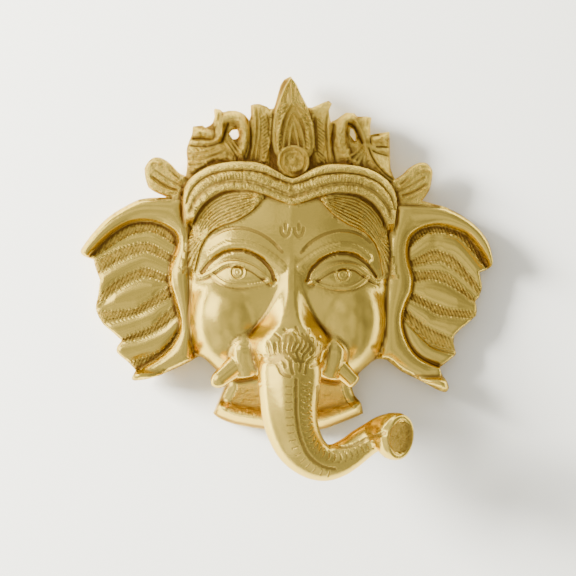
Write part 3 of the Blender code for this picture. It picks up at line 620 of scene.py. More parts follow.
@dataclass
class Crown:
    """The crown: a tall petal over a medallion, two side petals, and a pair of bird heads on each side.

    Attributes:
        both: The marks that both halves share.
        leaves: The marks of the small leaves beside the crown.
        left: The marks of the left half alone.
        right: The marks of the right half alone.
        petal_y: The heights at which the middle petal's width is given.
        petal_x: Half the middle petal's width at those heights.
        drops: The width, tip and height of the rims within the middle petal.
        medallion: The middle of the medallion.
    """

    both: list[Mark] = field(default_factory=lambda: [
        Mark(1.2, -1.6, [(24.6, 91), (23.8, 84), (24.2, 76), (25.8, 69)]),
        Mark(1.0, 1.5, [(22.4, 99.6), (21.2, 92), (21.6, 82), (22.6, 74), (24, 68.4)]),
        Mark(1.0, 1.5, [(12.2, 98), (12.4, 90), (12.8, 82), (13.8, 74), (16, 67.8)], 1.5),
        Mark(0.8, 0.9, [(19.4, 98.6), (19, 88), (19.6, 78), (20.8, 69)]),
    ])
    leaves: list[Mark] = field(default_factory=lambda: [
        Mark(1.0, 1.3, [(64, 55), (68, 58.6), (73, 63.2), (78, 66), (81.6, 65.4)]),
        Mark(0.9, 1.2, [(65, 48.6), (71, 50), (77, 53), (81.6, 56.6)]),
        Mark(0.8, -1.0, [(65, 57), (70, 61), (75, 64.2)]),
        Mark(0.8, -1.0, [(66, 50.4), (73, 53), (80, 57.6)]),
        Mark(0.8, -0.7, [(62, 52), (70, 56), (79, 61.6)]),
    ])
    left: list[Mark] = field(default_factory=lambda: [
        Mark(4.6, 3.2, [(-28.4, 73), (-26.8, 79), (-27, 86), (-30, 92), (-34.6, 93.6), (-38, 92)]),
        Mark(1.5, -3.2, [(-40.4, 79), (-38.6, 84), (-37, 89.4)]),
        Mark(3.2, 2.8, [(-43, 95.4), (-42.6, 90), (-41.8, 84), (-42.4, 80.6)]),
        Mark(0.9, 1.4, [(-39.6, 94), (-40.4, 88), (-40.8, 82)]),
        Mark(0.7, -0.9, [(-44.6, 86.4), (-43, 90.4), (-42.6, 94.6)]),
        Mark(1.2, 1.2, [(-44, 84), (-43, 86)]),
        Mark(3.4, 2.3, [(-57, 84.4), (-52, 84), (-47, 83)]),
        Mark(0.9, -1.6, [(-56.6, 80.4), (-52, 80.6), (-46.6, 80.2)]),
        Mark(1.0, 1.2, [(-54.6, 83.4), (-53.4, 84.2)]),
        Mark(0.7, -1.0, [(-50, 86.8), (-48.8, 84.4)]),
        Mark(1.6, 1.6, [(-58, 78.4), (-52, 78), (-46, 78.6), (-42.6, 81)]),
        Mark(0.8, -1.1, [(-58.6, 76.2), (-52, 75.8), (-46, 76.6), (-40.6, 79)]),
        Mark(0.9, 1.3, [(-59.4, 73), (-54, 72.6), (-48, 74.6), (-40, 77.6)]),
        Mark(0.8, 1.5, [(-38.6, 78.6), (-36, 75), (-33.6, 71.4)]),
        Mark(0.8, 1.5, [(-36.6, 79.4), (-34, 75.4), (-31.2, 71)]),
        Mark(0.8, 1.5, [(-34.4, 79.6), (-32, 76), (-29, 71.6)]),
        Mark(0.9, -1.8, [(-27.8, 70), (-26, 74), (-25.4, 79)]),
        Mark(1.6, 1.6, [(-57, 61.6), (-52, 64.6), (-46.6, 68.6), (-40, 70.4), (-33, 69)], 2.0),
        Mark(0.8, -1.0, [(-57, 59.8), (-50, 65), (-44, 67.6), (-36, 68)]),
        Mark(0.9, 1.2, [(-59.4, 70), (-52, 70.2), (-45, 72.2), (-39, 75)], 1.5),
        Mark(0.9, 1.2, [(-59.8, 67), (-52, 67.2), (-45, 69.4), (-38, 72.6)], 1.5),
        Mark(0.9, 1.1, [(-60, 64), (-53, 64.4), (-46.6, 66.4), (-38, 70)], 1.5),
    ])
    right: list[Mark] = field(default_factory=lambda: [
        Mark(4.4, 3.0, [(31.4, 73), (29.6, 79), (29, 86), (30.6, 92.4), (34.6, 95)]),
        Mark(0.8, 1.4, [(26.4, 91.6), (26.6, 84), (28, 78), (30, 74)]),
        Mark(1.5, -3.4, [(41.6, 80.6), (39.4, 85.4), (36.6, 90.6), (33.4, 91.8)]),
        Mark(1.0, 2.6, [(37.6, 93), (40, 89), (42, 84), (43.4, 79)]),
        Mark(3.2, 2.0, [(43.4, 94.6), (43.6, 89), (44.4, 84)]),
        Mark(0.7, -0.9, [(44.6, 95), (44, 91)]),
        Mark(0.7, -0.9, [(42.4, 94.6), (42.2, 91)]),
        Mark(0.9, -1.8, [(51.4, 85.4), (47.4, 84.8), (46.2, 82.6), (47, 80)]),
        Mark(2.6, 1.8, [(49, 82.6), (54, 84.4), (57, 86)]),
        Mark(1.0, 1.4, [(53, 84.6), (53.8, 82.2)]),
        Mark(0.8, -1.4, [(50, 78.6), (54, 79), (58, 78.4)]),
        Mark(0.8, -1.2, [(47, 76.4), (52, 74.6), (58, 73.4)]),
        Mark(0.8, 1.6, [(44, 78.6), (46.4, 72.6), (50.4, 66.6), (55.6, 61.6), (60.4, 58.6)], 1.3),
        Mark(0.8, 1.6, [(46.4, 77.4), (48.6, 72.2), (52.4, 67), (57.6, 62.4), (61.4, 60.2)]),
        Mark(0.6, -1.1, [(45.3, 78), (47.6, 72.4), (51.4, 66.8), (56.6, 62), (61, 59.4)]),
        Mark(0.8, 1.4, [(41, 79), (38, 75), (34.4, 72.6)]),
        Mark(1.6, 1.8, [(33.4, 76), (32, 73), (34.6, 70.2), (38.4, 68.6)]),
    ])
    petal_y: list[float] = field(default_factory=lambda: [70, 74, 79, 86, 92, 98, 105, 112, 118.5])
    petal_x: list[float] = field(default_factory=lambda: [9.6, 11.8, 12.8, 12.6, 11.8, 10.2, 7.4, 4.4, 0.4])
    drops: list[tuple[float, float, float]] = field(
        default_factory=lambda: [(9.2, 102, 1.5), (6.0, 96.6, 1.5), (2.8, 91, 1.3)])
    medallion: tuple[float, float] = (0.9, 68.2)
    medallion_half: float = 9.8
    medallion_rise: float = 4.2
    medallion_rings: list[tuple[float, float, float]] = field(
        default_factory=lambda: [(8.6, 1.1, 1.5), (5.8, 0.9, 1.2)])
    hatch_pitch: float = 2.1
    hatch_rise: float = 1.2
    feather_rise: float = 1.3
    fan_blades: int = 13
    petal_rise: float = 2.6

    def form(self, x: Heights, y: Heights) -> Heights:
        """Return the plain back-swept plate of the crown."""
        return 27 - 0.17 * (y - 60) - 0.0022 * x**2

    def carved(self, x: Heights, y: Heights) -> Heights:
        """Return the crown with everything carved on it.

        Args:
            x: The places' x.
            y: The places' y.

        Returns:
            The crown's heights.
        """
        z = self.form(x, y) + self.birds(x, y)
        for mark in self.both + self.leaves:
            z = z + mark.carve(np.abs(x), y)
        return self.with_medallion(z + self.petals(x, y), x, y)

    def birds(self, x: Heights, y: Heights) -> Heights:
        """Return the height of the bird heads, their feathers and the fans of short feathers under them.

        Args:
            x: The places' x.
            y: The places' y.

        Returns:
            The added heights.
        """
        z = np.zeros(x.shape)
        for mark in self.left + self.right:
            z = z + mark.carve(x, y)
        ax = np.abs(x)
        scales = beads(y + 0.5 * np.abs(ax - 28), self.hatch_pitch) * bump(ax - 28.6, 4.0)
        scales = scales * fade((y - 73) / 3) * fade((92 - y) / 3)
        turn = np.arctan2(y - 80, ax - 45)
        fan = np.abs(np.sin(turn * self.fan_blades)) * fade((y - 65.6) / 2) * fade((77 - y) / 4)
        fan = fan * bump(ax - 39.5, 7.5) * (x > 0)
        return z + self.feather_rise * scales + self.feather_rise * fan

    def petals(self, x: Heights, y: Heights) -> Heights:
        """Return the height of the tall middle petal and of the hatching on all the petals.

        Args:
            x: The places' x.
            y: The places' y.

        Returns:
            The added heights.
        """
        x = x - 1.0 + 1.9 * fade((y - 74) / 44)
        ax = np.abs(x)
        edge = np.interp(y, self.petal_y, self.petal_x)
        inside = fade((edge - ax) / 1.4) * fade((y - 70) / 2)
        rim = bump(ax - edge + 1.2, 1.1) * fade((y - 71) / 2)
        z = self.petal_rise * inside + rim * (0.6 + 0.4 * beads(y, 1.6))
        rims = np.zeros(x.shape)
        for width, tip, height in self.drops:
            share = np.clip((tip - y) / (tip - 69), 0, 1)
            off_rim = np.abs(ax - width * np.sin(math.pi * share**0.8 * 0.62))
            rims = rims + height * bump(off_rim, 0.95) * fade((tip + 0.6 - y) / 1.5) * fade((y - 72) / 3)
        lines = np.abs(np.sin(math.pi * (y + 0.8 * ax) / self.hatch_pitch))
        strip = inside * fade((ax - edge + 6.2) / 0.8) * fade((edge - 2.2 - ax) / 0.8) * fade((104 - y) / 4)
        side = fade((ax - 13.8) / 0.8) * fade((19 - ax) / 0.8) * fade((97 - y) / 3) * fade((y - 67) / 2)
        tip_line = 0.9 * bump(x, 0.8) * fade((y - 100) / 4) * fade((116 - y) / 3)
        return z + rims + self.hatch_rise * lines * strip + self.feather_rise * lines * side + tip_line

    def with_medallion(self, z: Heights, x: Heights, y: Heights) -> Heights:
        """Set the ringed medallion at the foot of the middle petal.

        Args:
            z: The crown's heights without it.
            x: The places' x.
            y: The places' y.

        Returns:
            The crown's heights with it.
        """
        middle = np.hypot(x - self.medallion[0], y - self.medallion[1])
        plate = self.form(x, y) + self.medallion_rise
        z = z + (plate - z) * fade(self.medallion_half - middle)
        for radius, half, rise in self.medallion_rings:
            z = z + rise * bump(middle - radius, half)
        return z + 1.5 * bump(middle, 3.0) + 0.5 * bump(middle - 1.8, 0.6)


@dataclass
class Ear:
    """One ear: a smooth rolled border round a field of rounded lobes and hatched strips.

    Attributes:
        side: Which ear it is.
        border: The inner edge of the border, from the ear's tip round to its lower end.
        folds: The lines that fan across the field, from the top down.
        CREASE: The crease between the head and the ears, as its y and how far out it lies.
    """

    CREASE: ClassVar[Points] = [(-50, 55), (-30, 56.5), (0, 58), (20, 58.6), (45, 61.5), (60, 61.5)]

    side: Side
    border: Points
    folds: list[Points]
    hatch_pitch: float = 1.9
    roll_rise: float = 5.4
    field_depth: float = 1.4
    lobe_rise: float = 3.0
    ridge_rise: float = 1.25
    hatch_rise: float = 0.9

    @staticmethod
    def form(x: Heights, y: Heights) -> Heights:
        """Return the plain sheet of the ears, which falls away from the head."""
        return 19.5 - 0.105 * (np.abs(x) - 58) - 0.0012 * (y + 8) ** 2

    @staticmethod
    def root(y: Heights) -> Heights:
        """Return how far out the crease between the head and the ears lies."""
        return np.interp(y, *np.transpose(Ear.CREASE))

    def roll(self, x: Heights, y: Heights, inset: Heights) -> tuple[Heights, Heights]:
        """Return the height of the border's roll, and how far inside the border each place lies.

        Args:
            x: The places' x.
            y: The places' y.
            inset: How far inside the outline the places lie.

        Returns:
            The added heights and the distances.
        """
        inner, _ = Stroke.through(self.border).measure(x, y)
        inner = inner * self.side.value
        edge = np.minimum(inset, np.maximum(np.abs(x) - self.root(y) + 1, 0))
        return self.roll_rise * arch(edge, -inner), inner

    def carved(self, x: Heights, y: Heights, inset: Heights) -> tuple[Heights, Heights]:
        """Return the ear's height, and where its rough hatched strips lie.

        Args:
            x: The places' x.
            y: The places' y.
            inset: How far inside the outline the places lie.

        Returns:
            The ear's heights, and 1 on a strip and 0 beside it.
        """
        roll, inner = self.roll(x, y, inset)
        ax = np.abs(x)
        lines = [smooth_line(fold) for fold in self.folds]
        heights = [np.interp(ax, np.abs(line[:, 0]), line[:, 1]) for line in lines]
        slopes = [np.gradient(line[:, 1]) / (np.gradient(np.abs(line[:, 0])) + 1e-9) for line in lines]
        leans = [
            np.interp(ax, np.abs(line[:, 0]), 1 / np.hypot(1, slope)) for line, slope in zip(lines, slopes)]
        field_z = np.full(x.shape, -self.field_depth)
        strip = fade((y - heights[0]) / 0.5)
        for number, (top, foot) in enumerate(zip(heights[:-1], heights[1:])):
            share = np.clip((top - y) / np.maximum(top - foot, 0.3), 0, 1)
            between = 2 * np.sqrt(share * (1 - share))
            if number % 2 == 0:
                field_z = field_z + np.minimum(self.lobe_rise, 0.28 * np.maximum(top - foot, 0)) * between
            else:
                strip = np.maximum(strip, between)
        last = heights[-1]
        if len(self.folds) % 2 == 0:
            strip = np.maximum(strip, fade((last - y) / 0.8))
        else:
            field_z = field_z + 2.6 * fade((last - y) / 3) * bump(inner - 6, 9)
        hatch = np.abs(np.sin(math.pi * (ax + 0.45 * y) / self.hatch_pitch))
        for height, lean in zip(heights, leans):
            field_z = field_z + self.ridge_rise * bump((y - height) * lean, 0.95) * (0.6 + 0.4 * hatch)
        field_z = field_z + self.hatch_rise * strip * (hatch - 0.35)
        inside = fade(inner / 1.1)
        z = self.form(x, y) + (roll + 1.0) * (1 - inside) + field_z * inside
        return z + 0.7 * bump(inner - 0.2, 0.8), strip * inside


@dataclass
class Jaw:
    """The open lower jaw: a hollow mouth behind a rounded lip."""

    mouth_top: Points = field(default_factory=lambda: [(0, -54), (14, -54), (24, -56), (30, -57), (40, -58)])
    chin_x: list[float] = field(default_factory=lambda: [-41.2, -37, -28, -12, 5, 22, 34, 42, 46.8])
    chin_y: list[float] = field(
        default_factory=lambda: [-79.4, -82.4, -85.4, -87.8, -88.6, -87.4, -83.2, -79.8, -77.4])
    sheath: Points = field(default_factory=lambda: [
        (22, -31), (24.4, -38), (24.6, -45), (23, -52), (20.6, -59), (18, -66)])
    flap_top: float = 48.0
    flap_half: float = 8.9
    flap_round: float = 0.2

    def carved(self, x: Heights, y: Heights, inset: Heights) -> Heights:
        """Return the height of the jaw.

        Args:
            x: The places' x.
            y: The places' y.
            inset: How far inside the outline the places lie.

        Returns:
            The jaw's heights.
        """
        rise = np.clip(y - np.interp(x, self.chin_x, self.chin_y), 0, 30)
        lip = 13 + 10 * fade((rise + 2) / 10) - 5.5 * fade((rise - 7) / 7)
        throat = 11 + 0.62 * np.clip(y + 84, 0, 40)
        return higher(lip, throat, 3.0) - 2.5 * (1 - fade(inset / 5))

    def joined_to(self, z: Heights, x: Heights, y: Heights, inset: Heights) -> Heights:
        """Set the jaw and the flaps that hold the tusks under a face.

        Args:
            z: The face's heights.
            x: The places' x.
            y: The places' y.
            inset: How far inside the outline the places lie.

        Returns:
            The heights of face, flaps and jaw.
        """
        flap, _ = Stroke.through(self.sheath).near(np.abs(x), y, 9)
        across = np.clip(np.abs(flap) - 2, 0, 9)
        flap_z = self.flap_top - 0.25 * np.clip(-42 - y, 0, 40) - self.flap_round * across**2
        flap_z = flap_z - 14 * (1 - fade((-22 - y) / 18)) - 26 * fade((-64 - y) / 9)
        z = higher(z, np.where(np.abs(flap) < self.flap_half, flap_z, 0), 1.6)
        mouth, _ = Stroke.through(self.mouth_top).measure(np.abs(x), y)
        below = fade(-mouth / 5)
        jaw = self.carved(x, y, inset) * fade(-(y + 50) / 8)
        return np.where(y < -50, higher(z * (1 - below), jaw, 1.5), z)


@dataclass
class Relief:
    """The whole carved front and the plain hollow back, as heights over each place of the outline."""

    outline: Outline = field(default_factory=Outline)
    head: Head = field(default_factory=Head)
    band: HeadBand = field(default_factory=HeadBand)
    hair: Hair = field(default_factory=Hair)
    crown: Crown = field(default_factory=Crown)
    jaw: Jaw = field(default_factory=Jaw)
    ear_left: Ear = field(default_factory=lambda: Ear(
        Side.LEFT,
        [(-116.5, 10.5), (-112, 15.5), (-104, 23.4), (-97, 28.4), (-91, 31.2), (-84, 32), (-77, 31.4),
         (-71, 29), (-65.5, 24.4), (-64.5, 17), (-67, 10), (-68.6, 2), (-68.2, -5), (-65.6, -13),
         (-63, -22), (-62, -30), (-64, -36), (-67.6, -42), (-73, -47), (-79, -51), (-86, -55.5)],
        [[(-66, 18), (-78, 25), (-86, 25), (-92, 23.5), (-98, 20), (-112, 10.5)],
         [(-66, 12), (-78, 18.5), (-85, 19.5), (-98, 16), (-112, 8)],
         [(-66, 6.5), (-80, 13), (-87, 13), (-99, 7.5), (-112, -1)],
         [(-66, -1), (-80, 4.5), (-87, 4), (-99, -2.6), (-112, -13)],
         [(-66, -5.6), (-80, -1.5), (-87, -2), (-98, -8), (-112, -20)],
         [(-66, -3), (-74, -9), (-85, -17), (-92, -19.5), (-112, -21)],
         [(-64, -10.6), (-70, -14), (-82, -20), (-90, -23.5), (-112, -30)],
         [(-64, -14.6), (-72, -22), (-77, -28), (-84, -31.5), (-104, -40)],
         [(-62, -21), (-72, -30), (-84, -36), (-92, -38), (-104, -41)],
         [(-62, -30), (-70, -40), (-76, -44.5), (-90, -50), (-104, -56)]]))
    ear_right: Ear = field(default_factory=lambda: Ear(
        Side.RIGHT,
        [(119, 10.5), (115.5, 16.8), (110, 24), (105, 29), (98, 32), (91, 33.8), (84, 33.8), (77, 31.6),
         (71.6, 27), (69.6, 20), (70.4, 12), (72.8, 3), (72.4, -5), (70, -11), (68, -17), (67.4, -23),
         (68.8, -30), (72, -37), (77, -43), (84, -47), (92, -50)],
        [[(68, 17), (80, 28), (87, 29), (95, 28.5), (102, 25.5), (116, 10)],
         [(68, 11), (84, 19), (92, 18), (100, 14), (116, -4)],
         [(68, 7.6), (87, 12), (94, 10), (106, 0.5), (116, -10)],
         [(68, 6.4), (83, 7.2), (90, 7), (98, 3), (116, -12.6)],
         [(68, -2), (82, 1.5), (90, 0.5), (97, -2.5), (116, -15)],
         [(68, -3), (82, -10), (90, -13), (97, -15), (116, -16)],
         [(68, -7), (73, -11), (82, -15), (90, -19), (116, -21.5)],
         [(66, -11), (72, -17), (78, -22), (85, -26.5), (106, -35)],
         [(66, -17), (71, -23), (82, -33), (88, -37), (106, -42)]]))
    rim_outside: Points = field(default_factory=lambda: [
        (0, 62), (20, 64), (40, 63), (52, 57), (58, 45), (58, 20), (57, 0), (56, -20), (55.5, -38), (54, -50),
        (50, -62), (52, -80), (34, -92), (0, -96)])
    face_wall: float = 4.5
    sheet_wall: float = 4.0
    rim_width: float = 5.5
    hollow_slope: float = 5.0
    hollow_top: float = 44.0
    carving_depth: float = 1.4
    least_front: float = 6.0
    leaf_rough: float = 0.75
    band_rough: float = 0.55
    hair_rough: float = 0.5
    jaw_rough: float = 0.7

    def leaf(self, x: Heights, y: Heights) -> Heights:
        """Return the plain plate of the two small leaves beside the crown."""
        return 20 - 0.12 * (np.abs(x) - 62)

    def front(self, x: Heights, y: Heights) -> tuple[Heights, Heights]:
        """Return the carved front's height, and how rough its casting is, over each place.

        Args:
            x: The places' x.
            y: The places' y.

        Returns:
            The front's heights, and its roughness from 0 to 1.
        """
        ax = np.abs(x)
        inset = self.outline.inset(x, y)
        z = self.head.carved(x, y)
        hair = self.hair.carved(x, y, self.band)
        z = self.jaw.joined_to(z + hair, x, y, inset)
        z = np.maximum(z, self.least_front)
        left, left_rough = self.ear_left.carved(x, y, inset)
        right, right_rough = self.ear_right.carved(x, y, inset)
        on_ear = (ax > 49) & (y < 47) & (y > -66)
        ear = np.where(on_ear, np.where(x < 0, left, right), 0)
        z = higher(z, ear * fade((ax - Ear.root(y) + 5) / 4), 1.2)
        band, top, foot = self.band.carved(x, y)
        on_band = fade((foot + 0.4) / 0.9) * fade((Ear.root(y) + 1.5 - ax) / 1.5) * fade((y - 27) / 8)
        z = z + (band - z) * on_band
        on_leaf = (ax > 60.4) & (y < 72)
        leaf = self.leaf(x, y)
        for mark in self.crown.leaves:
            leaf = leaf + mark.carve(ax, y)
        plate = np.where(on_leaf, leaf, self.crown.carved(x, y))
        above = fade((top + 0.3) / 1.0) * (y > 44)
        z = z + (plate - z) * above
        rough = np.where(on_ear, np.where(x < 0, left_rough, right_rough), 0)
        rough = np.maximum(rough, above * np.where(on_leaf, self.leaf_rough, 1.0))
        rough = np.maximum(rough, self.band_rough * on_band)
        rough = np.maximum(rough, self.hair_rough * fade(hair / 0.6))
        rough = np.maximum(rough, self.jaw_rough * fade((-y - 60) / 4) * (inset > 6))
        return z - self.outline.rounding(x, y, inset), rough

    def back(self, x: Heights, y: Heights) -> Heights:
        """Return the height of the back: the flat rim, the hollow inside it and the thin sheet outside it.

        Args:
            x: The places' x.
            y: The places' y.

        Returns:
            The back's heights.
        """
        ax = np.abs(x)
        inset = self.outline.inset(x, y)
        rolls = [ear.roll(x, y, inset) for ear in (self.ear_left, self.ear_right)]
        roll = np.where(x < 0, rolls[0][0], rolls[1][0])
        inner = np.where(x < 0, rolls[0][1], rolls[1][1])
        ear = Ear.form(x, y) + 0.6 * roll * fade(-inner / 2) * fade((50 - y) / 5)
        plain = np.where(y > 52, self.crown.form(x, y), ear)
        plain = np.where((ax > 60) & (y > 46), self.leaf(x, y), plain)
        outside = plain - self.carving_depth - self.sheet_wall
        form = higher(self.head.form(x, y), self.head.nose(x, y) - 3, 2)
        band = 17 + 21 * np.sqrt(np.maximum(1 - (ax / 70) ** 2, 0)) - 0.32 * np.clip(y - 44, 0, 30)
        form = np.where(y > 44, lower(form, band, 1.0), form)
        mouth = fade((-y - 44) / 10)
        form = form * (1 - mouth) + 12 * mouth
        half = smooth_line(self.rim_outside)
        rim = Stroke(np.vstack([half, (half * [-1, 1])[-2:0:-1]]), True)
        rim_d = np.abs(rim.measure(x, y)[0])
        depth = np.where(rim.holds(x, y), np.minimum(rim_d, inset), -rim_d)
        hollow = lower(form - self.face_wall * 1.25, np.full(x.shape, self.hollow_top), 3.0)
        hollow = lower(hollow, (depth - self.rim_width) * self.hollow_slope, 1.0)
        z = np.where(depth < 0, np.minimum(outside, -depth * 3.0), hollow)
        return np.maximum(z, 0.0)

    def detailed(self, x: Heights, y: Heights) -> np.ndarray:
        """Tell which places carry carving that needs smaller squares.

        Args:
            x: The places' x.
            y: The places' y.

        Returns:
            True for each such place.
        """
        ears = np.zeros(x.shape, bool)
        for ear in (self.ear_left, self.ear_right):
            inner, _ = Stroke.through(ear.border).measure(x, y)
            ears |= (inner * ear.side.value > -1.5) & (x * ear.side.value > 58) & (y < 40)
        leaves = (y > 45) & (np.abs(x) > 60)
        jaw = (y < -54) & (np.abs(x) < 50)
        brows = np.hypot(x / 56, (y - 14) / 19) < 1
        return self.engraved(x, y) | self.crowned(x, y) | ears | leaves | jaw | brows

    def crowned(self, x: Heights, y: Heights) -> np.ndarray:
        """Tell which places lie in the crown, the head band and the hair.

        Args:
            x: The places' x.
            y: The places' y.

        Returns:
            True for each such place.
        """
        ax = np.abs(x)
        crown = (y > 27) & (ax < 62.5) & (Stroke.through(self.band.foot).measure(ax, y)[0] > -1)
        hair = (ax > 14) & (ax < 60) & (y > 2) & (y < 51)
        hair &= Stroke.through(self.hair.foot).measure(ax, y)[0] > -1
        return crown | hair

    def engraved(self, x: Heights, y: Heights) -> np.ndarray:
        """Tell which polished places carry the finest lines: eyes, brows, forehead and trunk root.

        Args:
            x: The places' x.
            y: The places' y.

        Returns:
            True for each such place.
        """
        ax = np.abs(x)
        eye = np.hypot((ax - 31) / 23, (y - 3) / 10) < 1
        brow = np.abs(Stroke.through(self.head.brow).near(ax, y, 4)[0]) < 1.6
        root = (ax < 21) & (y < -26) & (y > -44)
        forehead = (ax < 8) & (y > 23.5) & (y < 32.5)
        return eye | brow | root | forehead

    def finest(self, x: Heights, y: Heights) -> np.ndarray:
        """Tell which places need the smallest squares."""
        return self.crowned(x, y) | self.engraved(x, y)


@dataclass
class Recesses:
    """How deep each place lies below the carving round it, read from an even raster of heights.

    Attributes:
        relief: The relief that the raster is made from.
        step: The size of the raster's squares.
        reach: How far round each place its surroundings are averaged.
        full: The depth that counts as a full recess.
        low: The raster's lowest x and y.
        high: The raster's highest x and y.
        taps: How many squares on each side of a place are averaged.
    """

    relief: Relief
    step: float = 0.45
    reach: float = 1.7
    full: float = 0.75
    low: tuple[float, float] = (-124.0, -92.0)
    high: tuple[float, float] = (124.1, 121.1)
    taps: int = 8

    def __post_init__(self) -> None:
        """Average the heights round each square of the raster."""
        self.x = np.arange(self.low[0], self.high[0], self.step)
        self.y = np.arange(self.low[1], self.high[1], self.step)
        x, y = np.meshgrid(self.x, self.y)
        here = self.relief.outline.holds(x, y)
        z = np.zeros(x.shape)
        z[here] = self.relief.front(x[here], y[here])[0]
        even = self.blurred(z * here) / np.maximum(self.blurred(here.astype(float)), 1e-3)
        self.deep = np.where(here, fade((even - z - 0.05) / self.full), 0)

    def blurred(self, values: Heights) -> Heights:
        """Average each square with its neighbours, along both ways of the raster.

        Args:
            values: The raster's values.

        Returns:
            The averaged values.
        """
        taps = np.arange(-self.taps, self.taps + 1)
        weights = np.exp(-0.5 * (taps * self.step / self.reach) ** 2)
        for axis in (0, 1):
            values = sum(weight * np.roll(values, tap, axis=axis) for tap, weight in zip(taps, weights))
        return values / weights.sum() ** 2

    def at(self, x: Heights, y: Heights) -> Heights:
        """Read the depth of recess at places between the raster's squares.

        Args:
            x: The places' x.
            y: The places' y.

        Returns:
            The depths, from 0 to 1.
        """
        column = np.clip((x - self.x[0]) / self.step, 0, len(self.x) - 1.001)
        row = np.clip((y - self.y[0]) / self.step, 0, len(self.y) - 1.001)
        i, j = column.astype(int), row.astype(int)
        u, v = column - i, row - j
        low = self.deep[j, i] * (1 - u) + self.deep[j, i + 1] * u
        high = self.deep[j + 1, i] * (1 - u) + self.deep[j + 1, i + 1] * u
        return low * (1 - v) + high * v


@dataclass
class Sheet:
    """The flat sheet of squares that takes the relief's heights, and the solid shell made from it.

    Attributes:
        relief: The relief that the sheet takes.
        cell: The size of its largest squares.
        wide: The width that the squares cover.
        high: The height that they cover.
        triangles: How many triangles are kept where the carving allows.
    """

    relief: Relief
    cell: float = 1.36
    wide: float = 246.0
    high: float = 242.0
    triangles: int = 118000

    def flat(self) -> bpy.types.Mesh:
        """Make the outline as a flat sheet of squares, in two steps finer where the carving is fine.

        Returns:
            The sheet's mesh, as triangles.
        """
        bm = bmesh.new()
        across, up = round(self.wide / self.cell), round(self.high / self.cell)
        bmesh.ops.create_grid(bm, x_segments=across, y_segments=up, size=0.5)
        bmesh.ops.scale(bm, vec=(across * self.cell, up * self.cell, 1), verts=bm.verts)
        self.trim(bm)
        for needs_finer in (self.relief.detailed, self.relief.finest):
            middles = np.array([face.calc_center_median() for face in bm.faces])
            chosen = needs_finer(middles[:, 0], middles[:, 1])
            edges = {edge for face, small in zip(bm.faces, chosen) if small for edge in face.edges}
            bmesh.ops.subdivide_edges(bm, edges=list(edges), cuts=1, use_grid_fill=True)
            self.trim(bm)
        edge = [vertex for vertex in bm.verts if vertex.is_boundary]
        for vertex in edge:
            place = self.relief.outline.nearest(vertex.co.x, vertex.co.y)
            vertex.co = (place[0], place[1], 0)
        near = {other for vertex in edge for link in vertex.link_edges for other in link.verts}
        bmesh.ops.smooth_vert(bm, verts=list(near - set(edge)), factor=0.5, use_axis_x=True, use_axis_y=True)
        bmesh.ops.triangulate(bm, faces=bm.faces, quad_method="BEAUTY")
        bmesh.ops.dissolve_degenerate(bm, dist=0.01, edges=bm.edges)
        bmesh.ops.triangulate(bm, faces=bm.faces, quad_method="BEAUTY")
        mesh = bpy.data.meshes.new("sheet")
        bm.to_mesh(mesh)
        bm.free()
        return mesh

    def trim(self, bm: bmesh.types.BMesh) -> None:
        """Delete the squares whose middles lie off the casting.

        Args:
            bm: The sheet.
        """
        faces = list(bm.faces)
        middles = np.array([face.calc_center_median() for face in faces])
        keep = self.relief.outline.holds(middles[:, 0], middles[:, 1])
        outside = [face for face, kept in zip(faces, keep) if not kept]
        bmesh.ops.delete(bm, geom=outside, context="FACES")

    def shell(self) -> bpy.types.Object:
        """Raise the sheet into the carved casting with its hollow back.

        Returns:
            The casting without trunk and tusks.
        """
        thing = placed("ganesha_casting", self.flat())
        wall = thing.modifiers.new("wall", "SOLIDIFY")
        wall.thickness = 1.0
        wall.offset = -1
        applied(thing)
        places = coordinates(thing.data)
        before = places[:, 2] > -0.5
        x, y = places[:, 0], places[:, 1]
        heights = np.zeros(len(x))
        for layer in (before, ~before):
            heights[layer], _ = self.relief.front(x[layer], y[layer])
        backs = np.minimum(self.relief.back(x, y), heights - 0.6 * self.relief.sheet_wall)
        places[:, 2] = np.where(before, heights, backs)
        thing.data.vertices.foreach_set("co", places.ravel())
        group = thing.vertex_groups.new(name="carved")
        group.add(np.where(~before | self.relief.crowned(x, y))[0].tolist(), 1.0, "REPLACE")
        total = sum(len(face.vertices) - 2 for face in thing.data.polygons)
        fewer = thing.modifiers.new("fewer", "DECIMATE")
        fewer.vertex_group = group.name
        fewer.ratio = self.triangles / total
        applied(thing)
        thing.vertex_groups.clear()
        return thing


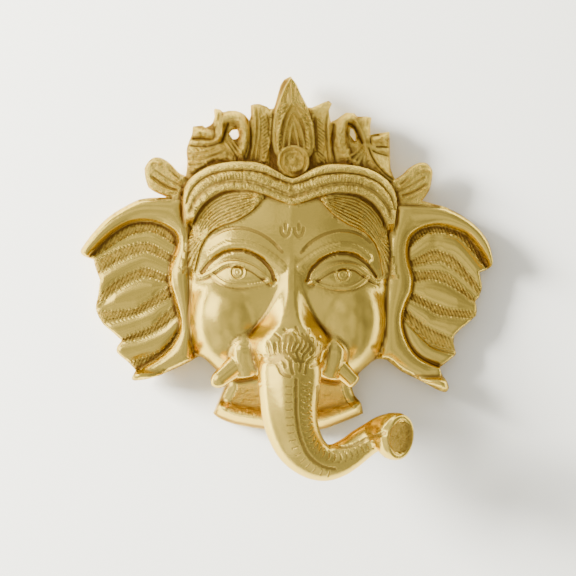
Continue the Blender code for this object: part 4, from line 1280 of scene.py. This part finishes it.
@dataclass
class Trunk:
    """The free part of the trunk, swept along its curl, with a keel down its front and a flared tip.

    Attributes:
        path: The trunk's middle line, and its half width and half depth there.
        sides: How many sides each ring has.
        rings: How many rings lie along the path.
        keel: How far the keel stands out, as a share of the half depth.
        scribble: The depth of the marks in the hollow of the tip.
        scribble_from: How many rings into the tip those marks start.
        tip_steps: The size of each ring of the tip, as a share of the last one, and how far out it lies.
    """

    path: list[tuple[float, float, float, float, float]] = field(default_factory=lambda: [
        (0.0, -28, 48.0, 9.0, 6.0),
        (0.0, -36, 53.0, 12.6, 9.6),
        (0.0, -44, 55.6, 16.2, 12.0),
        (-0.1, -50, 56.4, 18.0, 13.2),
        (-0.2, -56, 56.8, 18.2, 14.0),
        (-0.4, -64, 57.2, 17.4, 14.4),
        (-0.1, -74, 58.0, 16.2, 14.2),
        (1.9, -84, 58.5, 15.0, 13.6),
        (6.1, -93, 58, 14.0, 12.8),
        (12.4, -99.6, 57, 12.4, 11.4),
        (19.8, -102.9, 56, 11.0, 10.4),
        (27.2, -102.2, 55, 9.9, 9.6),
        (34.8, -98.0, 54.5, 9.3, 9.2),
        (41.4, -92.6, 54.8, 8.9, 8.8),
        (47.4, -88.4, 56.4, 8.8, 8.7),
        (52.4, -86.4, 59.4, 10.6, 9.8),
        (56.6, -86.4, 63.0, 12.8, 11.2),
        (60.0, -87.0, 66.8, 13.4, 11.6),
        (62.2, -87.2, 69.4, 12.6, 10.8)])
    sides: int = 56
    rings: int = 200
    keel: float = 0.09
    scribble: float = 0.5
    scribble_from: int = 4
    tip_steps: list[tuple[float, float]] = field(default_factory=lambda: [
        (0.99, 0.25), (0.96, 0.5), (0.9, 0.7), (0.84, 0.75), (0.8, 0.3), (0.77, -0.4), (0.7, -0.7),
        (0.6, -0.8), (0.5, -0.75), (0.4, -0.6), (0.3, -0.75), (0.2, -0.6), (0.1, -0.4)])

    def sections(self) -> tuple[np.ndarray, np.ndarray, np.ndarray]:
        """Space the rings evenly along the trunk and close its tip.

        Returns:
            The rings' centres, their half widths and the directions in which the trunk runs through them.
        """
        path = smooth_line([row[:3] for row in self.path], steps=12)
        sizes = smooth_line([row[3:] for row in self.path], steps=12)
        picks = np.linspace(0, len(path) - 1, self.rings)
        indexes = np.arange(len(path))
        centres = np.array([[np.interp(pick, indexes, path[:, axis]) for axis in range(3)] for pick in picks])
        halves = np.array([[np.interp(pick, indexes, sizes[:, axis]) for axis in range(2)] for pick in picks])
        travel = np.gradient(centres, axis=0)
        end = travel[-1] / np.linalg.norm(travel[-1])
        for share, forward in self.tip_steps:
            centres = np.vstack([centres, centres[self.rings - 1] + end * forward])
            halves = np.vstack([halves, halves[self.rings - 1] * share])
            travel = np.vstack([travel, end])
        return centres, halves, travel

    def tube(self) -> bpy.types.Object:
        """Loft the trunk through its rings.

        Returns:
            The trunk as a closed solid.
        """
        centres, halves, travel = self.sections()
        bm = bmesh.new()
        previous: list[bmesh.types.BMEdge] = []
        for number, (centre, half, run) in enumerate(zip(centres, halves, travel)):
            forward = Vector(run).normalized()
            across = Vector((0, 0, 1)).cross(forward).normalized()
            up = forward.cross(across)
            ring = bmesh.ops.create_circle(bm, segments=self.sides, radius=1.0)["verts"]
            for vertex in ring:
                angle = math.atan2(vertex.co.y, vertex.co.x)
                angle += 0.5 * math.sin(2 * angle) * (1 if angle > 0 else 0)
                keel = 1 + self.keel * max(0.0, math.sin(angle)) ** 12
                reach = across * half[0] * math.cos(angle) + up * half[1] * math.sin(angle) * keel
                cut = 0.0
                if number > self.rings + self.scribble_from:
                    cut = self.scribble * math.sin(angle * 9 + number * 1.9) * math.sin(angle * 4 - number)
                vertex.co = Vector(centre) + reach + forward * cut
            edges = list({edge for vertex in ring for edge in vertex.link_edges})
            if previous:
                bmesh.ops.bridge_loops(bm, edges=previous + edges)
            if number in (0, len(centres) - 1):
                bmesh.ops.contextual_create(bm, geom=edges)
            previous = edges
        bmesh.ops.recalc_face_normals(bm, faces=bm.faces)
        mesh = bpy.data.meshes.new("trunk")
        bm.to_mesh(mesh)
        bm.free()
        return placed("trunk", mesh)


@dataclass
class Tusk:
    """A short tusk: a tapered round bar with a blunt, rounded end.

    Attributes:
        start: Where its middle line leaves the cheek.
        end: Where its middle line ends.
        wide: Its radius at the start.
        narrow: Its radius at the end.
        roundness: How round its end is, from 0, cut flat, to 1.
        sides: How many sides it has.
        rings: How many rings lie along it.
    """

    start: tuple[float, float, float]
    end: tuple[float, float, float]
    wide: float
    narrow: float
    roundness: float
    sides: int = 36
    rings: int = 34

    def bar(self) -> bpy.types.Object:
        """Shape the tusk from a cone.

        Returns:
            The tusk as a closed solid.
        """
        start, end = Vector(self.start), Vector(self.end)
        run = end - start
        bm = bmesh.new()
        bmesh.ops.create_cone(bm, cap_ends=True, segments=self.sides, radius1=self.wide, radius2=self.narrow,
                              depth=run.length)
        long = [edge for edge in bm.edges if abs(edge.verts[0].co.z - edge.verts[1].co.z) > run.length / 2]
        bmesh.ops.subdivide_edges(bm, edges=long, cuts=self.rings)
        round_from = run.length / 2 - self.narrow * self.roundness * 1.4
        for vertex in bm.verts:
            past = max(0.0, vertex.co.z - round_from) / (run.length / 2 - round_from)
            thin = math.sqrt(1 - min(0.98, past**2) * min(1.0, 0.35 + self.roundness))
            vertex.co.xy *= thin
        turn = run.to_track_quat("Z", "Y").to_matrix().to_4x4()
        bmesh.ops.transform(bm, matrix=Matrix.Translation((start + end) / 2) @ turn, verts=bm.verts)
        mesh = bpy.data.meshes.new("tusk")
        bm.to_mesh(mesh)
        bm.free()
        return placed("tusk", mesh)


def placed(name: str, mesh: bpy.types.Mesh) -> bpy.types.Object:
    """Put a new object with this mesh in the scene.

    Args:
        name: The object's name.
        mesh: Its mesh.

    Returns:
        The new object.
    """
    thing = bpy.data.objects.new(name, mesh)
    bpy.context.scene.collection.objects.link(thing)
    return thing


def coordinates(mesh: bpy.types.Mesh) -> np.ndarray:
    """Read a mesh's vertices as rows of x, y and z.

    Args:
        mesh: The mesh.

    Returns:
        One row for each vertex.
    """
    places = np.empty(len(mesh.vertices) * 3)
    mesh.vertices.foreach_get("co", places)
    return places.reshape(-1, 3)


def normals(mesh: bpy.types.Mesh) -> np.ndarray:
    """Read the directions that a mesh's vertices face.

    Args:
        mesh: The mesh.

    Returns:
        One row for each vertex.
    """
    directions = np.empty(len(mesh.vertices) * 3)
    mesh.vertices.foreach_get("normal", directions)
    return directions.reshape(-1, 3)


def applied(thing: bpy.types.Object) -> None:
    """Make an object's modifiers part of its mesh.

    Args:
        thing: The object.
    """
    graph = bpy.context.evaluated_depsgraph_get()
    mesh = bpy.data.meshes.new_from_object(thing.evaluated_get(graph))
    old = thing.data
    thing.modifiers.clear()
    thing.data = mesh
    bpy.data.meshes.remove(old)


def join_to(thing: bpy.types.Object, other: bpy.types.Object) -> None:
    """Unite another solid with an object, and remove the other.

    Args:
        thing: The object that is kept.
        other: The solid that becomes part of it.
    """
    union = thing.modifiers.new("union", "BOOLEAN")
    union.operation = "UNION"
    union.solver = "EXACT"
    union.object = other
    applied(thing)
    mesh = other.data
    bpy.data.objects.remove(other)
    bpy.data.meshes.remove(mesh)


@dataclass
class Engraving:
    """The lines cut into the polished front of the trunk and the forehead.

    Attributes:
        keel: The double line down the trunk's front.
        dashes: The row of short crescents beside it.
        scales: The broader row of crescents.
        border: The double line beyond them.
        flame_foot: The point from which the strands at the trunk's root spread.
        flame_angles: The angles of the first and the last strand, in degrees from straight up.
        flame_count: How many strands there are.
        flame_starts: How far from the foot the strands start, in turn.
        forehead: The strokes of the small mark on the forehead.
    """

    keel: Points = field(default_factory=lambda: [
        (2.4, -56), (2.6, -66), (3.2, -76), (4.6, -85), (7.4, -93), (12, -100), (19, -104.6), (26, -106)])
    dashes: Points = field(default_factory=lambda: [
        (-1.4, -58), (-1.4, -68), (-0.6, -78), (0.8, -88), (4, -96), (9, -102.4), (16, -107), (24, -109)])
    scales: Points = field(default_factory=lambda: [
        (8.4, -57), (8.4, -66), (8.8, -76), (10.2, -85), (13.4, -92), (19, -97.4), (28, -99.4), (38, -96.6),
        (47, -91.6)])
    border: Points = field(default_factory=lambda: [
        (15.4, -60), (15.6, -70), (16, -79), (18, -87), (23, -92.4), (30, -94), (38, -92), (46, -87.6),
        (52, -84.6)])
    flame_foot: tuple[float, float] = (4.0, -58.0)
    flame_angles: tuple[float, float] = (-58.0, 44.0)
    flame_count: int = 15
    flame_starts: tuple[float, ...] = (6.0, 16.0, 11.0, 16.0)
    forehead: list[Points] = field(default_factory=lambda: [
        [(-6, 29.4), (-5.6, 26.2), (-3.8, 24.6), (-1.8, 25.6), (-1.2, 29)],
        [(1.6, 29.2), (2.2, 26), (4, 24.6), (6, 25.8), (6.8, 29.4)],
        [(-3.6, 31.4), (-3.6, 28.6)],
        [(4.1, 31.4), (4.2, 28.6)]])
    keel_cut: tuple[float, float] = (0.5, 0.45)
    border_cut: tuple[float, float] = (0.45, 0.4)
    flame_cut: tuple[float, float] = (0.5, 0.42)
    forehead_cut: tuple[float, float] = (0.42, 0.3)
    dash_cut: tuple[float, float] = (0.6, 0.5)
    scale_cut: tuple[float, float] = (0.55, 0.45)
    double_gap: float = 1.5
    dash_pitch: float = 4.3
    dash_half: float = 1.9
    scale_pitch: float = 3.3
    scale_half: float = 2.9
    flame_points: int = 8
    flame_reach: float = 25.0
    flame_sway: float = 1.5

    def flames(self) -> list[Points]:
        """Return the thin wavy strands that rise from the trunk's root like flames.

        Returns:
            Each strand's points.
        """
        strands = []
        low, high = self.flame_angles
        for number in range(self.flame_count):
            share = number / (self.flame_count - 1)
            angle = math.radians(low + (high - low) * share)
            start = self.flame_starts[number % len(self.flame_starts)]
            end = self.flame_reach + 3.0 * math.sin(math.pi * share) - 3.2 * (number % 2)
            strand = []
            for step in range(self.flame_points):
                reach = start + (end - start) * step / (self.flame_points - 1)
                sway = self.flame_sway * math.sin(reach * 0.5 + number * 0.45) * min(1.0, reach / 14)
                x = self.flame_foot[0] + reach * math.sin(angle) + sway * math.cos(angle)
                y = self.flame_foot[1] + reach * math.cos(angle) * 1.1 - sway * math.sin(angle)
                strand.append((x, y))
            strands.append(strand)
        return strands

    def depth(self, x: Heights, y: Heights) -> Heights:
        """Return how deep the engraver cut over each place of the front.

        Args:
            x: The places' x.
            y: The places' y.

        Returns:
            The depths of the cuts.
        """
        cut = np.zeros(x.shape)
        for points, (half, deep) in ((self.keel, self.keel_cut), (self.border, self.border_cut)):
            distance, _ = Stroke.through(points).near(x, y, 4)
            cut = np.maximum(cut, deep * bump(distance, half))
            cut = np.maximum(cut, 0.6 * deep * bump(distance - self.double_gap, half))
        for strokes, (half, deep) in ((self.flames(), self.flame_cut), (self.forehead, self.forehead_cut)):
            for points in strokes:
                distance, _ = Stroke.through(points).near(x, y, 3)
                cut = np.maximum(cut, deep * bump(distance, half))
        distance, along = Stroke.through(self.dashes).near(x, y, 5)
        crescent = np.mod(along + 0.16 * distance**2, self.dash_pitch) - self.dash_pitch / 2
        half, deep = self.dash_cut
        cut = np.maximum(cut, deep * bump(crescent, half) * fade((self.dash_half - np.abs(distance)) / 0.6))
        distance, along = Stroke.through(self.scales).near(x, y, 6)
        crescent = np.mod(along + 0.3 * distance**2, self.scale_pitch) - self.scale_pitch / 2
        half, deep = self.scale_cut
        return np.maximum(cut, deep * bump(crescent, half) * fade((self.scale_half - np.abs(distance)) / 0.6))


@dataclass(frozen=True)
class Brass:
    """The cast brass: polished where hands and buffing reach, rough and darker in the recesses.

    Attributes:
        polished: The colour of the polished metal.
        deep: The colour of the recesses.
        grazing: The tint of what the metal mirrors at a grazing angle.
        smooth: The roughness of the polished metal.
        coarse: The roughness of the raw casting.
        cloud_scale: The scale of the soft patches of colour and sheen.
        grain_scale: The scale of the casting's grain.
        pit_scale: The scale of its pits.
        dent_scale: The scale of its shallow dents.
        relief_depth: The depth of grain, pits and dents in metres.
        relief_strength: How strongly they turn the light.
        polished_relief: The share of that relief that is left on the polished metal.
    """

    polished: tuple[float, float, float] = (0.93, 0.68, 0.13)
    deep: tuple[float, float, float] = (0.27, 0.145, 0.03)
    grazing: tuple[float, float, float] = (1.0, 0.84, 0.5)
    smooth: float = 0.2
    coarse: float = 0.28
    cloud_scale: float = 26.0
    grain_scale: float = 1500.0
    pit_scale: float = 650.0
    dent_scale: float = 330.0
    relief_depth: float = 0.0008
    relief_strength: float = 0.9
    polished_relief: float = 0.04

    def material(self) -> bpy.types.Material:
        """Build the material.

        Returns:
            The brass, which reads the attributes rough and recess.
        """
        material = bpy.data.materials.new("cast_brass")
        material.use_nodes = True
        nodes, links = material.node_tree.nodes, material.node_tree.links
        shader = nodes["Principled BSDF"]
        shader.inputs["Metallic"].default_value = 1.0
        shader.inputs["Specular Tint"].default_value = (*self.grazing, 1)
        where = nodes.new("ShaderNodeTexCoord")
        rough = nodes.new("ShaderNodeAttribute")
        rough.attribute_name = "rough"
        recess = nodes.new("ShaderNodeAttribute")
        recess.attribute_name = "recess"

        def noise(scale: float, detail: float, roughness: float = 0.5) -> bpy.types.Node:
            """Add a noise texture that lies in the casting.

            Args:
                scale: How fine the noise is.
                detail: How many finer layers it has.
                roughness: How strong the finer layers are.

            Returns:
                The texture node.
            """
            node = nodes.new("ShaderNodeTexNoise")
            node.inputs["Scale"].default_value = scale
            node.inputs["Detail"].default_value = detail
            node.inputs["Roughness"].default_value = roughness
            links.new(where.outputs["Object"], node.inputs["Vector"])
            return node

        def math_node(operation: str, *values: float | bpy.types.NodeSocket) -> bpy.types.NodeSocket:
            """Add a maths node and return its output.

            Args:
                operation: What the node does.
                values: The numbers and sockets that it reads.

            Returns:
                The socket that holds the result.
            """
            node = nodes.new("ShaderNodeMath")
            node.operation = operation
            for socket, value in zip(node.inputs, values):
                if isinstance(value, (int, float)):
                    socket.default_value = value
                else:
                    links.new(value, socket)
            return node.outputs[0]

        cloud = noise(self.cloud_scale, 4, 0.6)
        grain = noise(self.grain_scale, 3, 0.6)
        pits = noise(self.pit_scale, 2, 0.5)
        dents = noise(self.dent_scale, 1, 0.5)
        shade = math_node("MULTIPLY_ADD", cloud.outputs["Fac"], 0.5, -0.25)
        shade = math_node("ADD", recess.outputs["Fac"], math_node("MULTIPLY", shade, 0.5))
        shade = math_node("MAXIMUM", shade, 0.0)
        shade = math_node("MINIMUM", shade, 1.0)
        colour = nodes.new("ShaderNodeMix")
        colour.data_type = "RGBA"
        colour.inputs["A"].default_value = (*self.polished, 1)
        colour.inputs["B"].default_value = (*self.deep, 1)
        links.new(shade, colour.inputs["Factor"])
        links.new(colour.outputs["Result"], shader.inputs["Base Color"])
        level = math_node("MULTIPLY_ADD", rough.outputs["Fac"], self.coarse - self.smooth, self.smooth)
        level = math_node("ADD", level, math_node("MULTIPLY_ADD", cloud.outputs["Fac"], 0.12, -0.06))
        level = math_node("ADD", level, math_node("MULTIPLY", recess.outputs["Fac"], 0.12))
        links.new(level, shader.inputs["Roughness"])
        relief = math_node("ADD", grain.outputs["Fac"], math_node("MULTIPLY", pits.outputs["Fac"], 1.4))
        relief = math_node("ADD", relief, math_node("MULTIPLY", dents.outputs["Fac"], 2.2))
        least = self.polished_relief
        share = math_node("MULTIPLY_ADD", rough.outputs["Fac"], 1 - least, least)
        height = math_node("MULTIPLY", relief, share)
        surface = nodes.new("ShaderNodeBump")
        surface.inputs["Strength"].default_value = self.relief_strength
        surface.inputs["Distance"].default_value = self.relief_depth
        links.new(height, surface.inputs["Height"])
        links.new(surface.outputs["Normal"], shader.inputs["Normal"])
        return material


@dataclass(frozen=True)
class Crease:
    """A crease that is smoothed where the trunk or a tusk grows out of the face.

    Attributes:
        above: The height that its vertices lie above.
        rows: The y between which they lie.
        columns: The distances from the middle line between which they lie.
        passes: How many times they are smoothed.
    """

    above: float
    rows: tuple[float, float]
    columns: tuple[float, float]
    passes: int

    def holds(self, place: Vector) -> bool:
        """Tell whether a place lies in the crease.

        Args:
            place: The place, in drawn millimetres.

        Returns:
            True for a place within all the limits.
        """
        in_rows = self.rows[0] < place.y < self.rows[1]
        in_columns = self.columns[0] < abs(place.x) < self.columns[1]
        return place.z > self.above and in_rows and in_columns


@dataclass
class Mask:
    """The whole casting, as the one piece that stands for the solid mask.

    Attributes:
        relief: The carved front and the hollow back.
        trunk: The free part of the trunk.
        tusks: The two tusks.
        engraving: The lines cut last.
        finish: The brass.
        width: The real width in metres.
        height: The real height in metres.
        drawn_width: The width in the drawing's millimetres.
        drawn_height: The height in the drawing's millimetres.
        bar_size: The hanging bar's length, width and thickness.
        bar_middle: The hanging bar's middle.
        creases: The creases that are smoothed.
        facet: The longest edge that is left where the trunk is engraved.
        fine_facet: The longest edge that is left at its root, above fine_above.
        fine_above: The y above which the finer edge holds.
        front_above: The height above which a facet counts as the trunk's front.
    """

    relief: Relief = field(default_factory=Relief)
    trunk: Trunk = field(default_factory=Trunk)
    tusks: list[Tusk] = field(default_factory=lambda: [
        Tusk((-24, -45.6, 36), (-43.4, -61.4, 41.5), 7.6, 4.2, 0.95),
        Tusk((25.6, -46.6, 36), (38.8, -58.8, 41), 6.4, 4.2, 0.25)])
    engraving: Engraving = field(default_factory=Engraving)
    finish: Brass = field(default_factory=Brass)
    width: float = 0.240
    height: float = 0.2305
    drawn_width: float = 242.1
    drawn_height: float = 232.3
    bar_size: tuple[float, float, float] = (111.0, 8.05, 5.0)
    bar_middle: tuple[float, float, float] = (0.0, 41.4, 8.5)
    creases: tuple[Crease, ...] = (
        Crease(44.0, (-58.0, -32.0), (9.0, 21.5), 5),
        Crease(50.0, (-48.0, -32.0), (-1.0, 14.0), 10))
    facet: float = 0.85
    fine_facet: float = 0.5
    fine_above: float = -60.0
    front_above: float = 46.0

    def build(self) -> bpy.types.Object:
        """Model the mask, dress it and set it in the place of the solid.

        Returns:
            The finished mask.
        """
        thing = Sheet(self.relief).shell()
        LOG.info("carved sheet: %d triangles", len(thing.data.polygons))
        join_to(thing, self.trunk.tube())
        for tusk in self.tusks:
            join_to(thing, tusk.bar())
        join_to(thing, self.hanging_bar())
        self.soften_joints(thing)
        self.refine(thing)
        self.engrave(thing)
        self.mark_surface(thing)
        self.to_place(thing)
        thing.data.materials.clear()
        thing.data.materials.append(self.finish.material())
        thing.data.shade_smooth()
        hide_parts("mask")
        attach(thing, "root")
        LOG.info("mask: %d triangles", sum(len(face.vertices) - 2 for face in thing.data.polygons))
        return thing

    def hanging_bar(self) -> bpy.types.Object:
        """Make the plain bar across the hollow of the back.

        Returns:
            The bar as a closed solid.
        """
        bm = bmesh.new()
        bmesh.ops.create_cube(bm, size=1)
        bmesh.ops.scale(bm, vec=self.bar_size, verts=bm.verts)
        bmesh.ops.translate(bm, vec=self.bar_middle, verts=bm.verts)
        mesh = bpy.data.meshes.new("hanging_bar")
        bm.to_mesh(mesh)
        bm.free()
        return placed("hanging_bar", mesh)

    def soften_joints(self, thing: bpy.types.Object) -> None:
        """Round the creases where the trunk and the tusks grow out of the face.

        Args:
            thing: The mask.
        """
        bm = bmesh.new()
        bm.from_mesh(thing.data)
        chosen = [[vertex for vertex in bm.verts if crease.holds(vertex.co)] for crease in self.creases]
        for crease, vertices in zip(self.creases, chosen):
            for _ in range(crease.passes):
                bmesh.ops.smooth_vert(bm, verts=vertices, factor=0.5, use_axis_x=True, use_axis_y=True,
                                      use_axis_z=True)
        bm.to_mesh(thing.data)
        bm.free()

    def refine(self, thing: bpy.types.Object) -> None:
        """Split the larger facets of the trunk's front, where the engraved lines are, and smooth them.

        Args:
            thing: The mask.
        """
        bm = bmesh.new()
        bm.from_mesh(thing.data)
        bmesh.ops.triangulate(bm, faces=bm.faces)
        for _ in range(2):
            edges = list(bm.edges)
            middles = np.array([(edge.verts[0].co + edge.verts[1].co) / 2 for edge in edges])
            lengths = np.array([edge.calc_length() for edge in edges])
            facing = np.array([min(edge.verts[0].normal.z, edge.verts[1].normal.z) for edge in edges])
            at_root = middles[:, 1] > self.fine_above
            chosen = (lengths > np.where(at_root, self.fine_facet, self.facet)) & (facing > 0.1)
            chosen &= (middles[:, 2] > self.front_above) & (middles[:, 1] < -36)
            chosen &= np.abs(middles[:, 0] - self.engraving.flame_foot[0]) < np.where(at_root, 14, 90)
            split = [edge for edge, wanted in zip(edges, chosen) if wanted]
            made = bmesh.ops.subdivide_edges(bm, edges=split, cuts=1)["geom_inner"]
            new = [item for item in made if isinstance(item, bmesh.types.BMVert)]
            bmesh.ops.triangulate(bm, faces=[face for face in bm.faces if len(face.verts) > 3])
            around = {link.other_vert(vertex) for vertex in new for link in vertex.link_edges} | set(new)
            for _ in range(3):
                bmesh.ops.smooth_vert(bm, verts=list(around), factor=0.5, use_axis_x=True, use_axis_y=True,
                                      use_axis_z=True)
            bm.normal_update()
        bm.to_mesh(thing.data)
        bm.free()

    def engrave(self, thing: bpy.types.Object) -> None:
        """Cut the engraved lines into what faces the viewer.

        Args:
            thing: The mask.
        """
        places = coordinates(thing.data)
        directions = normals(thing.data)
        facing = fade((directions[:, 2] - 0.1) / 0.3) * (places[:, 2] > 38)
        places -= directions * (facing * self.engraving.depth(places[:, 0], places[:, 1]))[:, None]
        thing.data.vertices.foreach_set("co", places.ravel())
        thing.data.update()

    def mark_surface(self, thing: bpy.types.Object) -> None:
        """Store how rough and how deep in a recess each vertex lies.

        Args:
            thing: The mask.
        """
        x, y, z = coordinates(thing.data).T
        heights, rough = self.relief.front(x, y)
        on_front = fade((1.6 - np.abs(z - heights)) / 0.8)
        engraved = self.engraving.depth(x, y) * (z > heights - 1) * (z > 38)
        recess = np.maximum(Recesses(self.relief).at(x, y) * on_front, 1.3 * engraved)
        tip = self.trunk.path[-1]
        from_tip = np.hypot(x - tip[0], y - tip[1])
        at_tip = (z > tip[2] - 8) & (normals(thing.data)[:, 2] > 0.5) & (from_tip < 8.6)
        recess = np.maximum(recess, 0.6 * at_tip)
        brow, _ = Stroke.through(self.relief.head.brow).near(np.abs(x), y, 4)
        recess = np.maximum(recess, 0.55 * bump(brow, 0.9) * on_front)
        rough = np.maximum(rough * on_front, 0.8 * at_tip)
        rough = np.where(z < heights - 1.6, 0.7, rough)
        for name, values in (("rough", rough), ("recess", np.clip(recess, 0, 1))):
            layer = thing.data.attributes.new(name, "FLOAT", "POINT")
            layer.data.foreach_set("value", values.astype(np.float32))

    def to_place(self, thing: bpy.types.Object) -> None:
        """Turn the drawing's millimetres into metres and centre the mask on the solid that it stands for.

        Args:
            thing: The mask.
        """
        size = (self.width / self.drawn_width, self.height / self.drawn_height, MILLIMETRE)
        thing.data.transform(Matrix.Diagonal((*size, 1)))
        low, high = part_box("mask")
        places = coordinates(thing.data)
        own_low, own_high = Vector(places.min(axis=0)), Vector(places.max(axis=0))
        fit = Vector(min(1.0, (high[i] - low[i]) / (own_high[i] - own_low[i])) for i in range(3))
        move = Vector(((low[i] + high[i]) / 2 - fit[i] * (own_low[i] + own_high[i]) / 2 for i in range(3)))
        move.z = low[2] - fit[2] * own_low[2]
        thing.data.transform(Matrix.Translation(move) @ Matrix.Diagonal((*fit, 1)))
        thing.data.update()


@dataclass(frozen=True)
class Lamp:
    """A soft square light that points at the mask.

    Attributes:
        name: The light's name.
        place: Where it hangs.
        size: The length of its sides.
        power: Its power in watts.
        colour: The colour of its light.
        seen: Whether the brass mirrors it.
    """

    name: str
    place: tuple[float, float, float]
    size: float
    power: float
    colour: tuple[float, float, float]
    seen: bool = True

    def hang(self) -> None:
        """Put the light in the scene."""
        data = bpy.data.lights.new(self.name, "AREA")
        data.size = self.size
        data.energy = self.power
        data.color = self.colour
        thing = bpy.data.objects.new(self.name, data)
        thing.location = self.place
        thing.rotation_mode = "QUATERNION"
        thing.rotation_quaternion = (-Vector(self.place)).to_track_quat("-Z", "Y")
        thing.visible_glossy = self.seen
        bpy.context.scene.collection.objects.link(thing)


@dataclass
class Studio:
    """The pale floor, the soft lights and the camera that looks down on the mask.

    Attributes:
        lean_deg: How far the camera stands to the mask's left, in degrees.
        turn_deg: How far the camera is turned about its own line of sight, in degrees.
        distance: How far it stands from what it aims at.
        view_width: The width that it sees there.
        aim: What it aims at.
        sensor: The width of its sensor in millimetres.
        floor_colour: The colour of the floor.
        floor_half: Half the floor's width.
        lamps: The lights.
        bright: The colour of the room on the left.
        dim: The colour of the room on the right.
        patch_scale: How fine the patches of light in the room are.
        patch_dim: The light of the darkest patch.
        patch_bright: The light of the brightest patch.
        room_strength: The strength of the room's light.
    """

    lean_deg: float = 4.0
    turn_deg: float = 1.4
    distance: float = 1.3
    view_width: float = 0.3333
    aim: tuple[float, float, float] = (0.0002, -0.0073, 0.015)
    sensor: float = 36.0
    floor_colour: tuple[float, float, float] = (0.95, 0.945, 0.86)
    floor_half: float = 3.0
    lamps: tuple[Lamp, ...] = (
        Lamp("key", (-1.7, 0.5, 0.8), 0.7, 300, (1, 0.99, 0.96), seen=False),
        Lamp("top", (-0.3, 0.6, 2.6), 2.0, 20, (1, 1, 1), seen=False),
        Lamp("window", (-1.9, 0.7, 1.2), 1.6, 26, (1, 0.98, 0.94)))
    bright: tuple[float, float, float] = (1.0, 0.97, 0.9)
    dim: tuple[float, float, float] = (0.3, 0.29, 0.27)
    patch_scale: float = 2.6
    patch_dim: float = 0.62
    patch_bright: float = 1.35
    room_strength: float = 1.12

    def build(self) -> None:
        """Make the floor, the lights and the camera."""
        self.floor()
        for lamp in self.lamps:
            lamp.hang()
        self.surroundings()
        self.camera()

    def floor(self) -> None:
        """Make the plain pale floor."""
        bm = bmesh.new()
        bmesh.ops.create_grid(bm, x_segments=2, y_segments=2, size=self.floor_half)
        mesh = bpy.data.meshes.new("floor")
        bm.to_mesh(mesh)
        bm.free()
        thing = placed("floor", mesh)
        material = bpy.data.materials.new("floor")
        material.use_nodes = True
        nodes, links = material.node_tree.nodes, material.node_tree.links
        shader = nodes["Principled BSDF"]
        shader.inputs["Roughness"].default_value = 0.7
        where = nodes.new("ShaderNodeTexCoord")
        noise = nodes.new("ShaderNodeTexNoise")
        noise.inputs["Scale"].default_value = 9
        ramp = nodes.new("ShaderNodeMix")
        ramp.data_type = "RGBA"
        ramp.inputs["A"].default_value = (*self.floor_colour, 1)
        ramp.inputs["B"].default_value = (*(c * 0.97 for c in self.floor_colour), 1)
        links.new(where.outputs["Object"], noise.inputs["Vector"])
        links.new(noise.outputs["Fac"], ramp.inputs["Factor"])
        links.new(ramp.outputs["Result"], shader.inputs["Base Color"])
        mesh.materials.append(material)

    def surroundings(self) -> None:
        """Fill the room with a patchy light that is bright on the left and dim on the right."""
        world = bpy.data.worlds.new("room")
        world.use_nodes = True
        bpy.context.scene.world = world
        nodes, links = world.node_tree.nodes, world.node_tree.links
        sky = nodes["Background"]
        where = nodes.new("ShaderNodeTexCoord")
        split = nodes.new("ShaderNodeSeparateXYZ")
        ramp = nodes.new("ShaderNodeValToRGB")
        ramp.color_ramp.elements[0].color = (*self.bright, 1)
        ramp.color_ramp.elements[1].color = (*self.dim, 1)
        side = nodes.new("ShaderNodeMath")
        side.operation = "MULTIPLY_ADD"
        side.inputs[1].default_value = 0.5
        side.inputs[2].default_value = 0.5
        links.new(where.outputs["Generated"], split.inputs["Vector"])
        links.new(split.outputs["X"], side.inputs[0])
        links.new(side.outputs[0], ramp.inputs["Fac"])
        cloud = nodes.new("ShaderNodeTexNoise")
        cloud.inputs["Scale"].default_value = self.patch_scale
        cloud.inputs["Detail"].default_value = 1.0
        patches = nodes.new("ShaderNodeMapRange")
        patches.inputs["From Min"].default_value = 0.35
        patches.inputs["From Max"].default_value = 0.65
        patches.inputs["To Min"].default_value = self.patch_dim
        patches.inputs["To Max"].default_value = self.patch_bright
        dimmed = nodes.new("ShaderNodeVectorMath")
        dimmed.operation = "SCALE"
        links.new(where.outputs["Generated"], cloud.inputs["Vector"])
        links.new(cloud.outputs["Fac"], patches.inputs["Value"])
        links.new(ramp.outputs["Color"], dimmed.inputs[0])
        links.new(patches.outputs["Result"], dimmed.inputs["Scale"])
        links.new(dimmed.outputs["Vector"], sky.inputs["Color"])
        sky.inputs["Strength"].default_value = self.room_strength

    def camera(self) -> None:
        """Set the camera above the mask, a little to its left and turned as the photographer held it."""
        data = bpy.data.cameras.new("camera")
        data.sensor_width = self.sensor
        data.lens = self.sensor * self.distance / self.view_width
        data.clip_end = 20
        thing = bpy.data.objects.new("camera", data)
        lean, turn = math.radians(self.lean_deg), math.radians(self.turn_deg)
        back = Vector((-math.sin(lean), 0, math.cos(lean)))
        up = Vector((-math.sin(turn), math.cos(turn), 0))
        right = up.cross(back).normalized()
        up = back.cross(right)
        thing.matrix_world = Matrix.Translation(Vector(self.aim) + back * self.distance) @ Matrix(
            (right, up, back)).transposed().to_4x4()
        bpy.context.scene.collection.objects.link(thing)
        bpy.context.scene.camera = thing


def main() -> None:
    """Build the mask and the studio round it."""
    logging.basicConfig(level=logging.INFO)
    Studio().build()
    LOG.info("studio built")
    Mask().build()


if __name__ == "__main__":
    main()
